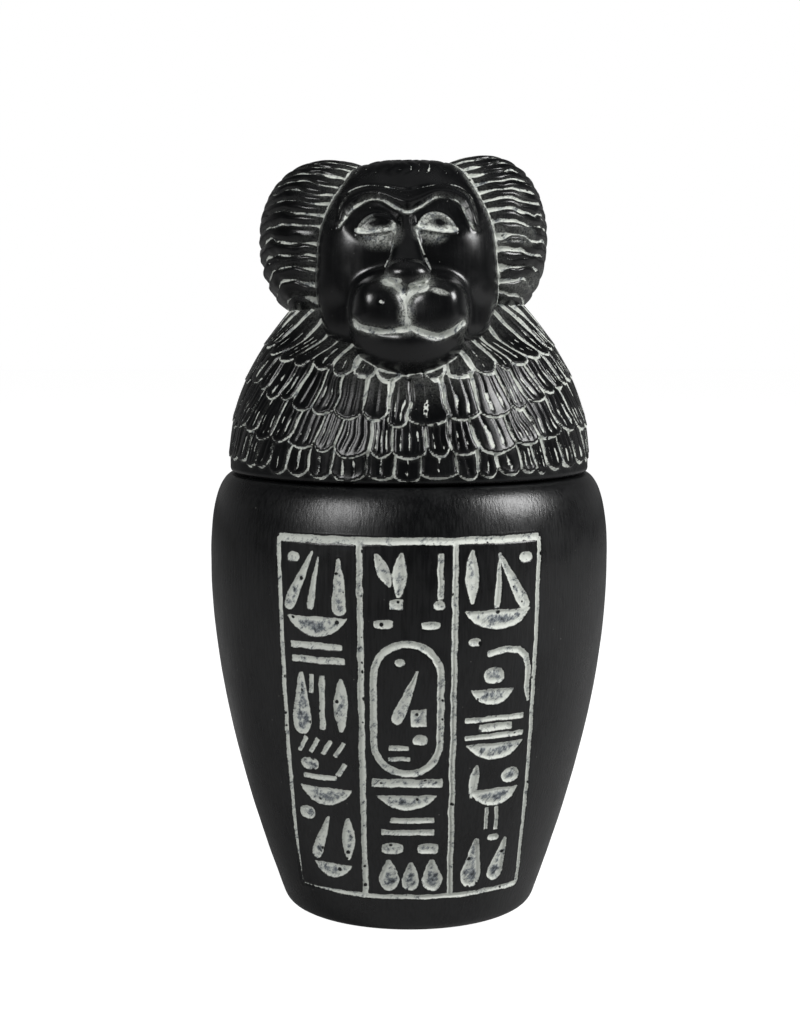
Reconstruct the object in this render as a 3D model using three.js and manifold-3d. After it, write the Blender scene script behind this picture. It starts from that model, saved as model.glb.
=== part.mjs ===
// A canopic jar with a baboon's head for its lid, a cast souvenir in black resin.
// Two loose pieces: a hollow jar with an engraved panel, and a lid that rests on its rim.
// Millimetres, +Z up, the face towards -Y, origin at the middle of the underside.
import * as THREE from "three";
import { mergeVertices } from "three/addons/utils/BufferGeometryUtils.js";
import Module from "manifold-3d";

const wasm = await Module();
wasm.setup();

// Driving dimensions of the jar
const FOOT_RADIUS = 20.3;
const FOOT_ROUND = 2;
const BELLY_RADIUS = 34.6;
const BELLY_HEIGHT = 60.5;
const SHOULDER_RADIUS = 29.6; // where the shoulder's curve would end if it closed flat
const SHOULDER_POWER = 2.5;
const RIM_HEIGHT = 75.8;
const RIM_RADIUS = 30.4;
const MOUTH_RADIUS = 23.5;
const MOUTH_DEPTH = 5.5;
const WALL = 4;
const FLOOR = 6;
const JAR_SIDES = 32;

// Driving dimensions of the lid
const SEAT_GAP = 0.3;
const LID_BOTTOM = RIM_HEIGHT + SEAT_GAP;
const SPIGOT_RADIUS = 22.9;
const SPIGOT_DEPTH = 4.5;
const CAPE_RADIUS = 31.1;
const EDGE_DRAWN_IN = 0.7; // how much narrower the cape is at its bottom edge
const CAPE_WIDEST = 79;
const CAPE_FALL = 0.017; // the radius lost for each square millimetre of height above the widest
const CAPE_NAPE = 105;
const CAPE_TOP = 112.5; // under the skull, so that the cape reaches the head behind

const point = (x, y, z) => new THREE.Vector3(x, y, z);

// A closed triangle soup as a solid, with the collapsed triangles of a pole or tip left out.
function solid(geometry) {
  const bare = new THREE.BufferGeometry();
  bare.setAttribute("position", geometry.getAttribute("position"));
  bare.setIndex(geometry.index);
  const merged = mergeVertices(bare, 1e-4);
  const index = merged.index.array;
  const kept = [];
  for (let i = 0; i < index.length; i += 3) {
    const [a, b, c] = [index[i], index[i + 1], index[i + 2]];
    if (a !== b && b !== c && a !== c) kept.push(a, b, c);
  }
  const made = (triangles) =>
    new wasm.Manifold(
      new wasm.Mesh({
        numProp: 3,
        vertProperties: merged.attributes.position.array,
        triVerts: new Uint32Array(triangles),
      }),
    );
  const first = made(kept);
  if (first.volume() > 0) return first;
  return made(kept.reverse());
}

// Closed rings of equal length, stacked: each is joined to the next, and both ends close on a point.
function loft(rings, bottom, top) {
  const count = rings[0].length;
  const vertices = [bottom, ...rings.flat(), top];
  const at = (ring, i) => 1 + ring * count + (i % count);
  const index = [];
  for (let i = 0; i < count; i++) {
    index.push(0, at(0, i + 1), at(0, i));
    for (let k = 0; k + 1 < rings.length; k++) {
      index.push(at(k, i), at(k, i + 1), at(k + 1, i));
      index.push(at(k, i + 1), at(k + 1, i + 1), at(k + 1, i));
    }
    index.push(vertices.length - 1, at(rings.length - 1, i), at(rings.length - 1, i + 1));
  }
  return solid(new THREE.BufferGeometry().setFromPoints(vertices).setIndex(index));
}

// The solid as a mesh to show, with flat faces.
function shown(made, name, colour) {
  const mesh = made.getMesh();
  const geometry = new THREE.BufferGeometry();
  geometry.setAttribute("position", new THREE.BufferAttribute(mesh.vertProperties, 3));
  geometry.setIndex(new THREE.BufferAttribute(mesh.triVerts, 1));
  geometry.computeVertexNormals();
  const material = new THREE.MeshStandardMaterial({ color: colour, roughness: 0.4, metalness: 0 });
  const piece = new THREE.Mesh(geometry, material);
  piece.name = name;
  return piece;
}

// The jar's outside below the belly: one curve from the foot, upright at the belly.
const FLANK = new THREE.CubicBezierCurve(
  new THREE.Vector2(FOOT_RADIUS + FOOT_ROUND, FOOT_ROUND),
  new THREE.Vector2(27.3, 16),
  new THREE.Vector2(BELLY_RADIUS, 38.5),
  new THREE.Vector2(BELLY_RADIUS, BELLY_HEIGHT),
);

// The shoulder above the belly is a quarter of a full, rounded ellipse.
function shoulderRadius(z) {
  const rise = (z - BELLY_HEIGHT) / (RIM_HEIGHT - BELLY_HEIGHT + 0.3);
  const full = Math.pow(1 - Math.pow(rise, SHOULDER_POWER), 1 / SHOULDER_POWER);
  return SHOULDER_RADIUS + (BELLY_RADIUS - SHOULDER_RADIUS) * full;
}

// The outside radius of the jar at a height, by halving the step along the flank's curve.
function jarRadius(z) {
  if (z >= BELLY_HEIGHT) return shoulderRadius(z);
  let low = 0;
  let high = 1;
  for (let i = 0; i < 24; i++) {
    const middle = (low + high) / 2;
    if (FLANK.getPoint(middle).y < z) low = middle;
    else high = middle;
  }
  return FLANK.getPoint(low).x;
}

// The jar as one turned wall, closed on the axis under the foot and over the floor.
function jarWall() {
  const outline = [new THREE.Vector2(0, 0), new THREE.Vector2(FOOT_RADIUS, 0)];
  outline.push(new THREE.Vector2(FOOT_RADIUS + FOOT_ROUND * 0.72, FOOT_ROUND * 0.3));
  for (let i = 0; i <= 6; i++) outline.push(FLANK.getPoint(i / 6));
  for (const rise of [0.45, 0.74, 0.92]) {
    const z = BELLY_HEIGHT + (RIM_HEIGHT - BELLY_HEIGHT) * rise;
    outline.push(new THREE.Vector2(shoulderRadius(z), z));
  }
  outline.push(new THREE.Vector2(RIM_RADIUS, RIM_HEIGHT));
  outline.push(new THREE.Vector2(MOUTH_RADIUS, RIM_HEIGHT));
  outline.push(new THREE.Vector2(MOUTH_RADIUS, RIM_HEIGHT - MOUTH_DEPTH));
  for (const z of [64, 40, 20]) outline.push(new THREE.Vector2(jarRadius(z) - WALL, z));
  outline.push(new THREE.Vector2(jarRadius(FLOOR) - WALL - 3, FLOOR));
  outline.push(new THREE.Vector2(0, FLOOR));
  return solid(new THREE.LatheGeometry(outline, JAR_SIDES).rotateX(Math.PI / 2));
}

// The panel's place on the jar: across is the way round from the front, up is the height.
const PANEL_TOP = 67.6;
const PANEL_BOTTOM = 6.8;
const PANEL_HALF_TOP = 22.6;
const PANEL_HALF_BOTTOM = 20.7;
const LINE_HALF = 0.42; // half the width of an engraved line
const CUT_DEPTH = 0.55;
const CUT_OVER = 0.9; // how far a cutter stands out of the surface

function onJar(across, up, out) {
  const radius = jarRadius(up);
  const angle = across / radius;
  return point((radius + out) * Math.sin(angle), -(radius + out) * Math.cos(angle), up);
}

// How much narrower the panel is at a height than at its top, as a share.
function narrowing(up) {
  const fall = (PANEL_TOP - up) / (PANEL_TOP - PANEL_BOTTOM);
  return 1 - fall * (1 - PANEL_HALF_BOTTOM / PANEL_HALF_TOP);
}

// A chisel's stroke wrapped on the jar: a path of [across, up, half width], cut by one swept wedge.
function stroke(path, closed = false) {
  const sections = path.map(([across, up, half], i) => {
    const before = path[closed ? (i + path.length - 1) % path.length : Math.max(i - 1, 0)];
    const after = path[closed ? (i + 1) % path.length : Math.min(i + 1, path.length - 1)];
    const length = Math.hypot(after[0] - before[0], after[1] - before[1]) || 1;
    const side = [-(after[1] - before[1]) / length, (after[0] - before[0]) / length];
    const corner = (reach, out) => onJar(across + side[0] * reach, up + side[1] * reach, out);
    return [
      corner(half, CUT_OVER),
      corner(-half, CUT_OVER),
      corner(-half * 0.7, -CUT_DEPTH),
      corner(half * 0.7, -CUT_DEPTH),
    ];
  });
  if (!closed) {
    const middle = (section) =>
      section.reduce((sum, corner) => sum.add(corner), point(0, 0, 0)).divideScalar(4);
    return loft(sections, middle(sections[0]), middle(sections[sections.length - 1]));
  }
  const index = [];
  const count = sections.length;
  for (let k = 0; k < count; k++)
    for (let i = 0; i < 4; i++) {
      const [a, b] = [k * 4 + i, k * 4 + ((i + 1) % 4)];
      const [c, d] = [((k + 1) % count) * 4 + i, ((k + 1) % count) * 4 + ((i + 1) % 4)];
      index.push(a, b, c, b, d, c);
    }
  return solid(new THREE.BufferGeometry().setFromPoints(sections.flat()).setIndex(index));
}

// A straight line of even width, with enough steps to follow the jar round.
function line(from, to, half = LINE_HALF, steps = 8) {
  const path = [];
  for (let i = 0; i <= steps; i++) {
    const t = i / steps;
    path.push([from[0] + (to[0] - from[0]) * t, from[1] + (to[1] - from[1]) * t, half]);
  }
  return stroke(path);
}

// The strokes of the panel: none of them is a letter. Each takes its middle, width and height.
const STROKES = {
  bar: (x, z, w, h) => [
    [x - w / 2, z, h / 2],
    [x + w / 2, z, h / 2],
  ],
  // An upright. The lean is how far its upper end is to the right of its lower one.
  post: (x, z, w, h, lean = 0) => [
    [x - lean / 2, z - h / 2, w / 2],
    [x + lean / 2, z + h / 2, w / 2],
  ],
  // A long drop, wide below and drawn out to a point above.
  drop: (x, z, w, h, lean = 0) => [
    [x - lean / 2, z - h / 2, w * 0.3],
    [x - lean / 3, z - h * 0.32, w / 2],
    [x + lean / 2, z + h / 2, w * 0.14],
  ],
  // An upright leaf, full in the middle.
  leaf: (x, z, w, h, lean = 0) => [
    [x - lean / 2, z - h / 2, w * 0.15],
    [x, z, w / 2],
    [x + lean / 2, z + h / 2, w * 0.15],
  ],
  // A lying lens, nearly straight above and full below.
  lens: (x, z, w, h) =>
    [-1, -0.45, 0.45, 1].map((t) => {
      const half = (h / 2) * (1.08 - t * t);
      return [x + (t * w) / 2, z + h / 2 - half, half];
    }),
  spot: (x, z, w, h) =>
    [-1, 0, 1].map((t) => [x + (t * w) / 2, z, (h / 2) * (1 - 0.45 * t * t)]),
  // A bar whose end turns down.
  crook: (x, z, w, h) => [
    [x - w / 2, z + h / 2, 0.5],
    [x + w * 0.3, z + h / 2, 0.5],
    [x + w / 2, z + h * 0.28, 0.5],
    [x + w / 2, z - h / 2, 0.35],
  ],
};

// Each stroke's place: [kind, across, height, width, tall, lean]. The smallest are left out.
const COLUMNS_OF_STROKES = {
  left: [
    ["drop", -18.6, 60.9, 2.2, 9.4, 4.8],
    ["drop", -15.9, 60.7, 1.3, 8.8, 1.6],
    ["drop", -11.5, 60.4, 2.5, 8.8],
    ["lens", -15.7, 53.6, 10.9, 3.1],
    ["bar", -15.9, 50.3, 9.4, 1.1],
    ["bar", -15.7, 48.0, 9.8, 1.1],
    ["drop", -19.1, 40.8, 3.6, 9.8],
    ["post", -15.0, 40.8, 1.0, 9.4],
    ["leaf", -11.6, 40.6, 2.4, 9.2],
    ["post", -19.3, 33.4, 0.8, 2.6, 1.6],
    ["post", -16.9, 33.3, 0.8, 2.6, 1.6],
    ["post", -14.5, 33.2, 0.8, 2.6, 1.6],
    ["post", -12.1, 33.0, 0.8, 2.6, 1.6],
    ["spot", -18.0, 30.0, 4.2, 2.1],
    ["bar", -16.2, 27.8, 6.4, 0.9],
    ["lens", -15.2, 24.5, 9.8, 3.0],
    ["spot", -19.2, 21.0, 2.6, 2.4],
    ["drop", -16.4, 16.8, 2.4, 8.0, 3.0],
    ["leaf", -11.0, 17.0, 2.3, 7.8],
    ["lens", -14.7, 10.8, 7.8, 2.7],
  ],
  middle: [
    ["leaf", -4.2, 63.0, 2.0, 5.4, -2.4],
    ["leaf", -1.5, 62.2, 2.3, 7.2, 0.4],
    ["post", 5.1, 62.0, 1.0, 7.4],
    ["spot", -4.2, 54.4, 4.2, 1.5],
    ["spot", 3.6, 54.2, 3.9, 1.3],
    ["drop", -0.4, 42.4, 2.0, 8.6, 3.6],
    ["post", 1.6, 38.9, 2.6, 2.9],
    ["spot", 1.9, 35.2, 2.0, 1.9],
    ["bar", -1.7, 33.8, 3.4, 0.8],
    ["lens", -0.3, 24.3, 9.8, 2.5],
    ["bar", 0.6, 21.0, 7.2, 1.0],
    ["bar", -0.2, 18.8, 8.8, 1.0],
    ["spot", -2.9, 15.9, 4.6, 2.0],
    ["spot", 3.4, 15.8, 4.6, 2.0],
    ["drop", -3.6, 11.4, 3.4, 4.6],
    ["drop", 0.3, 11.2, 3.0, 4.2],
    ["drop", 4.2, 11.4, 3.4, 4.6],
  ],
  right: [
    ["leaf", 10.3, 61.8, 2.3, 8.6],
    ["drop", 14.9, 61.0, 1.3, 8.8, 0.6],
    ["drop", 17.6, 60.9, 2.2, 9.2, -5.2],
    ["lens", 15.1, 54.8, 11.8, 3.1],
    ["crook", 17.3, 45.1, 7.8, 9.2],
    ["spot", 14.6, 45.5, 2.8, 2.8],
    ["lens", 14.5, 42.0, 7.8, 2.5],
    ["bar", 15.2, 38.2, 10.8, 0.9],
    ["bar", 15.3, 36.7, 6.0, 1.3],
    ["bar", 15.2, 35.2, 10.8, 0.9],
    ["lens", 15.4, 32.6, 10.6, 2.8],
    ["leaf", 11.5, 27.4, 1.7, 5.8, 1.0],
    ["lens", 15.7, 24.4, 9.0, 3.0],
    ["spot", 18.7, 27.9, 2.7, 2.7],
    ["post", 14.2, 20.4, 0.7, 4.2],
    ["post", 16.2, 20.4, 0.7, 4.2],
    ["drop", 11.9, 13.0, 3.6, 8.0, 1.2],
    ["drop", 17.5, 12.9, 3.0, 7.2, 2.2],
  ],
};

// The ring in the middle column: two straight sides, two round ends and a bar below.
const RING = { across: -0.3, half: 5.4, top: 51.3, bottom: 29.3, line: 0.58 };
function ringPath() {
  const path = [];
  const turn = (middle, start) => {
    for (let i = 0; i <= 5; i++) {
      const angle = start + (Math.PI * i) / 5;
      path.push([
        RING.across + RING.half * Math.cos(angle),
        middle + RING.half * Math.sin(angle),
        RING.line,
      ]);
    }
  };
  turn(RING.top - RING.half, 0);
  turn(RING.bottom + RING.half, Math.PI);
  return path;
}

function panelCutters() {
  const edge = (side, up) => side * PANEL_HALF_TOP * narrowing(up);
  const divider = (middle, up) => middle * narrowing(up);
  const cutters = [
    line([edge(-1, PANEL_TOP), PANEL_TOP], [edge(1, PANEL_TOP), PANEL_TOP], 0.55, 7),
    line([edge(-1, PANEL_BOTTOM), PANEL_BOTTOM], [edge(1, PANEL_BOTTOM), PANEL_BOTTOM], 0.45, 8),
  ];
  const uprights = [
    (up) => edge(-1, up),
    (up) => edge(1, up),
    (up) => divider(-8, up),
    (up) => divider(7.5, up),
  ];
  for (const at of uprights)
    cutters.push(line([at(PANEL_BOTTOM), PANEL_BOTTOM], [at(PANEL_TOP), PANEL_TOP], LINE_HALF, 4));
  cutters.push(stroke(ringPath(), true));
  const base = RING.bottom - 1.6;
  cutters.push(line([-RING.half - 0.6, base], [RING.half + 0.1, base], 0.75, 3));
  for (const [kind, across, up, ...size] of Object.values(COLUMNS_OF_STROKES).flat()) {
    const place = across * narrowing(up);
    const path = STROKES[kind](0, up, ...size);
    cutters.push(stroke(path.map(([x, z, half]) => [place + x, z, half])));
  }
  return cutters;
}

function jar() {
  return jarWall().subtract(wasm.Manifold.union(panelCutters()));
}

// The lid's cape: four rows of feathers, each row lying over the one below it.
const FEATHERS_FRONT = 20; // in the front half; the ones behind are wider
const FEATHERS_BACK = 8;
const STEPS_PER_FEATHER = 3;
const FEATHER_PROUD = 0.55;
const FEATHER_GROOVE = 0.5;
const SCALLOP = 1.0;
const EDGE_SLOPE = 0.15;
const FAN = 0.26; // how far the feathers lean outwards on the way down, in radians at the side
// From the bottom: each row's lower edge at the front, and how much higher it is at the sides.
const FEATHER_ROWS = [
  { front: 76.9, rise: 2.0, shift: 0 },
  { front: 80.5, rise: 4.2, shift: 1 },
  { front: 86.0, rise: 6.4, shift: 2 },
  { front: 92.7, rise: 5.4, shift: 0 },
];

const capeRadius = (z) => CAPE_RADIUS - CAPE_FALL * Math.max(z - CAPE_WIDEST, 0) ** 2;

function rowEdge(row, angle) {
  return row.front + row.rise * (Math.abs(angle) < Math.PI / 2 ? Math.sin(angle) ** 2 : 1);
}

function cape() {
  const front = FEATHERS_FRONT * STEPS_PER_FEATHER;
  const columns = front + FEATHERS_BACK * STEPS_PER_FEATHER;
  const ring = (place) =>
    [...Array(columns).keys()].map((column) => {
      const behind = (column - front) / (columns - front);
      const angle = Math.PI * (column < front ? column / front - 0.5 : behind + 0.5);
      const [radius, z] = place(column, angle);
      const fan = angle - (FAN * Math.sin(angle) * (z - LID_BOTTOM)) / (CAPE_TOP - LID_BOTTOM);
      return point(radius * Math.sin(fan), -radius * Math.cos(fan), z);
    });
  const level = (radius, z) => ring(() => [radius, z]);
  const rings = [level(CAPE_RADIUS - EDGE_DRAWN_IN, LID_BOTTOM)];
  FEATHER_ROWS.forEach((row, k) => {
    const below = FEATHER_ROWS[Math.max(k - 1, 0)];
    const between = (column, { shift }) => (column + shift) % STEPS_PER_FEATHER === 0;
    const edge = (column, angle) => rowEdge(row, angle) + (between(column, row) ? SCALLOP : 0);
    rings.push(
      ring((column, angle) => {
        const z = edge(column, angle) - EDGE_SLOPE;
        return [capeRadius(z) - (k > 0 && between(column, below) ? FEATHER_GROOVE : 0), z];
      }),
      ring((column, angle) => {
        const z = edge(column, angle) + EDGE_SLOPE;
        return [capeRadius(z) + FEATHER_PROUD - (between(column, row) ? FEATHER_GROOVE : 0), z];
      }),
    );
  });
  for (const z of [CAPE_NAPE, CAPE_TOP]) rings.push(level(capeRadius(z), z));
  return loft(rings, point(0, 0, LID_BOTTOM), point(0, 0, CAPE_TOP));
}

// The round plug under the lid that keeps it from sliding off the jar's mouth.
function spigot() {
  const under = LID_BOTTOM - SPIGOT_DEPTH;
  const outline = [
    [0, under],
    [SPIGOT_RADIUS - 0.6, under],
    [SPIGOT_RADIUS, under + 0.6],
    [SPIGOT_RADIUS, LID_BOTTOM + 1],
    [0, LID_BOTTOM + 1],
  ];
  const points = outline.map(([radius, z]) => new THREE.Vector2(radius, z));
  return solid(new THREE.LatheGeometry(points, JAR_SIDES).rotateX(Math.PI / 2));
}

// The masses of the head: middle, half sizes and fullness, where 2 is a plain ellipsoid.
const MASSES = [
  { at: [0, -3, 113.6], half: [16.2, 15.5, 15.7], full: 2.6 }, // skull
  { at: [-0.5, -9.5, 111.2], half: [15.3, 12.4, 13.4], full: 2.8 }, // face
  { at: [-0.4, -12.4, 101.8], half: [14.6, 9.6, 7.6], full: 2.2 }, // jowls
  { at: [0.15, -22.6, 103.3], half: [8.9, 8.4, 7.0], full: 2.25 }, // muzzle
  { at: [-4.2, -24.6, 104.2], half: [4.8, 7.4, 4.9], full: 3 }, // left lip
  { at: [4.4, -24.6, 104.2], half: [4.8, 7.4, 4.9], full: 3 }, // right lip
  { at: [-0.1, -22.8, 99.8], half: [8.3, 8.2, 6.4], full: 2 }, // lower jaw
  { at: [-0.45, -21.6, 115.4], half: [2.1, 3.8, 4.4], full: 2 }, // bridge of the nose, above
  { at: [-0.4, -25.2, 111.4], half: [3.2, 4.8, 3.0], full: 2.2 }, // bridge of the nose, below
];
const BLEND = 2.2; // how widely one mass of the head runs into the next
const NOSE = { at: [-0.35, -29.9, 109.5], half: [3.7, 3.0, 2.3], full: 2 };
const HEAD_MIDDLE = [0, -12, 107];
const HEAD_SPOKES = 28;
const HEAD_RINGS = 15;

// The two round masses of hair at the sides of the face.
const LOBES = {
  left: { at: [-13.2, 0, 115.3], half: [12.6, 15.4, 14.2], full: 2.2 },
  right: { at: [12.2, 0, 115.9], half: [11.5, 15.4, 14.4], full: 2.2 },
};
const LOCKS = 13;
const LOCK_GROOVE = 0.5;
const LOCK_RISE = 0.25; // how steeply a lock rises on its way out from the face
const LOCK_FALL = 0.25; // how steeply it falls on its way to the back
const LOBE_SIDES = 10;

const norm = (offset, mass) =>
  Math.pow(
    offset.reduce((sum, value, i) => sum + Math.abs(value / mass.half[i]) ** mass.full, 0),
    1 / mass.full,
  );

function mass({ at, half, full }, across, down) {
  const geometry = new THREE.SphereGeometry(1, across, down).rotateX(Math.PI / 2);
  const position = geometry.getAttribute("position");
  for (let i = 0; i < position.count; i++) {
    const offset = [position.getX(i), position.getY(i), position.getZ(i)];
    const size = norm(offset, { half: [1, 1, 1], full });
    position.setXYZ(i, ...offset.map((value, k) => at[k] + (half[k] * value) / size));
  }
  return solid(geometry);
}

// A lobe of hair: slices along the way that the locks are stacked, drawn in at each groove.
function lobe(shape) {
  const out = Math.sign(shape.at[0]);
  const up = point(-LOCK_RISE * out, LOCK_FALL, 1).normalize();
  const side = point(1, 0, LOCK_RISE * out).normalize();
  const back = new THREE.Vector3().crossVectors(up, side);
  const middle = point(...shape.at);
  const reach = (from, way) => {
    let [near, far] = [0, 40];
    for (let i = 0; i < 30; i++) {
      const tried = (near + far) / 2;
      if (norm(from.clone().addScaledVector(way, tried).toArray(), shape) < 1) near = tried;
      else far = tried;
    }
    return near;
  };
  const high = reach(point(0, 0, 0), up);
  const slices = [];
  for (let k = 1; k < 2 * LOCKS; k++) {
    const from = up.clone().multiplyScalar(high * (k / LOCKS - 1));
    const groove = k % 2 ? 0 : LOCK_GROOVE;
    slices.push(
      [...Array(LOBE_SIDES).keys()].map((i) => {
        const angle = (2 * Math.PI * i) / LOBE_SIDES;
        const way = side.clone().multiplyScalar(Math.cos(angle));
        way.addScaledVector(back, Math.sin(angle));
        const length = Math.max(reach(from, way) - groove, 0.3);
        return middle.clone().add(from).addScaledVector(way, length);
      }),
    );
  }
  const end = (way) => middle.clone().addScaledVector(up, way * high);
  return loft(slices, end(-1), end(1));
}

// How far a place lies outside one mass, measured along the way to its middle.
function outside(place, shape) {
  const offset = place.map((value, i) => value - shape.at[i]);
  const size = norm(offset, shape);
  return Math.hypot(...offset) * (1 - 1 / Math.max(size, 1e-6));
}

// How far a place lies outside the head, with all its masses run softly together.
function outsideHead(place) {
  return MASSES.map((shape) => outside(place, shape)).reduce((least, next) => {
    const share = Math.max(BLEND - Math.abs(least - next), 0) / BLEND;
    return Math.min(least, next) - (share * share * BLEND) / 4;
  });
}

// The way from a place inside the head to its skin, by halving the step.
function skin(from, way, reach) {
  let [near, far] = [0, reach];
  for (let i = 0; i < 20; i++) {
    const tried = (near + far) / 2;
    if (outsideHead(from.map((value, k) => value + way[k] * tried)) < 0) near = tried;
    else far = tried;
  }
  return from.map((value, k) => value + way[k] * near);
}

// The face and the skull in one, as rings about the line that looks out through the muzzle.
function head() {
  const rings = [];
  for (let k = 1; k <= HEAD_RINGS; k++) {
    const turn = (Math.PI * 0.75 * k) / HEAD_RINGS;
    rings.push(
      [...Array(HEAD_SPOKES).keys()].map((i) => {
        const round = (2 * Math.PI * i) / HEAD_SPOKES;
        const way = [Math.sin(turn) * Math.cos(round), -Math.cos(turn), Math.sin(turn) * Math.sin(round)];
        return point(...skin(HEAD_MIDDLE, way, 40));
      }),
    );
  }
  const tip = point(...skin(HEAD_MIDDLE, [0, -1, 0], 40));
  return loft(rings, tip, point(...HEAD_MIDDLE));
}

// How far forward the face stands at a place seen from the front.
const faceAt = (x, z) => skin([x, HEAD_MIDDLE[1], z], [0, -1, 0], 40)[1];

// A rod laid along the face, through places [across, height, half width, how proud its middle is].
function ridge(places) {
  const corners = 5;
  const rings = places.map(([x, z, half, proud], i) => {
    const before = places[Math.max(i - 1, 0)];
    const after = places[Math.min(i + 1, places.length - 1)];
    const along = point(after[0] - before[0], 0, after[1] - before[1]).normalize();
    const side = point(-along.z, 0, along.x);
    const middle = point(x, faceAt(x, z) - proud, z);
    return [...Array(corners).keys()].map((k) => {
      const angle = (2 * Math.PI * k) / corners;
      const corner = middle.clone().addScaledVector(side, half * Math.cos(angle));
      return corner.add(point(0, half * Math.sin(angle), 0));
    });
  });
  const end = (ring) =>
    ring.reduce((sum, corner) => sum.add(corner), point(0, 0, 0)).divideScalar(corners);
  return loft(rings, end(rings[0]), end(rings[rings.length - 1]));
}

const mirrored = (places, side) => places.map(([x, ...rest]) => [x * side, ...rest]);

// The brows arch over the eyes, and meet in a dip over the nose.
const BROW = [
  [12.2, 116.6, 0.5, 0],
  [10.8, 120.8, 0.8, 0],
  [6.6, 123.0, 0.9, 0.3],
  [3.4, 122.4, 0.95, 0.5],
  [-0.5, 120.4, 1.1, 0.7],
];
const EYE = { at: [5.1, 118.0], socket: [3.3, 1.4, 1.9], ball: [2.5, 1.6, 1.35], sunk: 1.5 };
const FACE_MIDDLE = -0.5;
const MOUTH = [
  [-8.7, 101.9, 0.45, 0],
  [-5.0, 100.6, 0.5, 0],
  [-0.2, 101.0, 0.6, 0],
  [4.4, 99.8, 0.5, 0],
  [8.7, 101.9, 0.45, 0],
];
const LIP_CREASE = [
  [-0.2, 107.4, 0.5, 0],
  [-0.3, 104.4, 0.6, 0],
  [-0.2, 101.0, 0.6, 0],
];
// The flat of the nose's bridge, which widens on its way down to the tip.
const BRIDGE = [
  [-0.5, 119.4, 1.3, -0.7],
  [-0.5, 117.2, 1.7, -1.3],
  [-0.4, 114.2, 2.3, -1.9],
  [-0.4, 111.4, 3.1, -2.6],
];

function lid() {
  const eye = (side, half, sunk = 0) => {
    const x = EYE.at[0] * side + FACE_MIDDLE;
    return { at: [x, faceAt(x, EYE.at[1]) + sunk, EYE.at[1]], half, full: 2 };
  };
  const sides = [-1, 1];
  const whole = wasm.Manifold.union([
    cape(),
    spigot(),
    head(),
    lobe(LOBES.left),
    lobe(LOBES.right),
    ridge(BRIDGE),
    mass(NOSE, 10, 6),
    ...sides.map((side) => ridge(mirrored(BROW, side))),
  ]);
  const cuts = wasm.Manifold.union([
    ridge(MOUTH),
    ridge(LIP_CREASE),
    ...sides.map((side) => mass(eye(side, EYE.socket), 10, 6)),
  ]);
  const balls = sides.map((side) => mass(eye(side, EYE.ball, EYE.sunk), 8, 4));
  return wasm.Manifold.union([whole.subtract(cuts), ...balls]);
}

const canopicJar = new THREE.Group();
canopicJar.add(shown(jar(), "jar", 0x0c0d0f));
canopicJar.add(shown(lid(), "baboon_head_lid", 0x0c0d0f));

export default canopicJar;
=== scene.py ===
import math

import bpy
import numpy as np
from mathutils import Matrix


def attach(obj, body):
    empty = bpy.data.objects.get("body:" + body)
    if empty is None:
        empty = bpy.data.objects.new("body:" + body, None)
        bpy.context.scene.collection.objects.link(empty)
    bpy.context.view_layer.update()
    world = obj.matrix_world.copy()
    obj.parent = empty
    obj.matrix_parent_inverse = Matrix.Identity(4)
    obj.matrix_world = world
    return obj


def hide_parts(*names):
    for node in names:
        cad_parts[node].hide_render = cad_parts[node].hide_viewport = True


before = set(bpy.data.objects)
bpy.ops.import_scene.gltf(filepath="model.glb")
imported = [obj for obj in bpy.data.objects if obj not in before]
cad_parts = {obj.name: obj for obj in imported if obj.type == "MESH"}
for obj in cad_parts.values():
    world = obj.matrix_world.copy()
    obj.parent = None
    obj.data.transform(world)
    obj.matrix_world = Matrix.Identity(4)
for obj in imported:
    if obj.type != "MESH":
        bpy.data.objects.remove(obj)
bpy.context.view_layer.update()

# The jar: a hollow vessel, cast in one in black resin. The panel on its front is engraved, and
# off-white paint is wiped over it and off again, so that it stays in the cuts.
# All sizes are in millimetres until a skin is cast.
MM = 0.001
FOOT_RADIUS = 19.8
BELLY_RADIUS = 34.6
BELLY_HEIGHT = 60.5
SHOULDER_RADIUS = 29.6
SHOULDER_POWER = 2.5
RIM_HEIGHT = 75.8
RIM_RADIUS = 30.4
MOUTH_RADIUS = 23.5
WALL = 4.0
FLOOR = 6.0


def eased(low, high, value):
    """0 below low, 1 above high, and a soft step between them."""
    t = np.clip((value - low) / (high - low), 0, 1)
    return t * t * (3 - 2 * t)


def ridge(distance, wide):
    """1 on a line and less beside it, almost nothing at twice the width."""
    return np.exp(-((distance / wide) ** 2))


def uneven(places, size, seed):
    """Smooth chance values from -1 to 1 that change over about size millimetres."""
    lattice = np.random.default_rng(seed).uniform(-1, 1, (32, 32, 32))
    at = np.asarray(places) / size
    low = np.floor(at).astype(int)
    t = eased(0, 1, at - low)
    value = 0
    for corner in range(8):
        step = np.array([corner & 1, corner >> 1 & 1, corner >> 2 & 1])
        share = np.prod(np.where(step, t, 1 - t), axis=-1)
        i, j, k = np.moveaxis((low + step) % 32, -1, 0)
        value = value + share * lattice[i, j, k]
    return value


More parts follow.
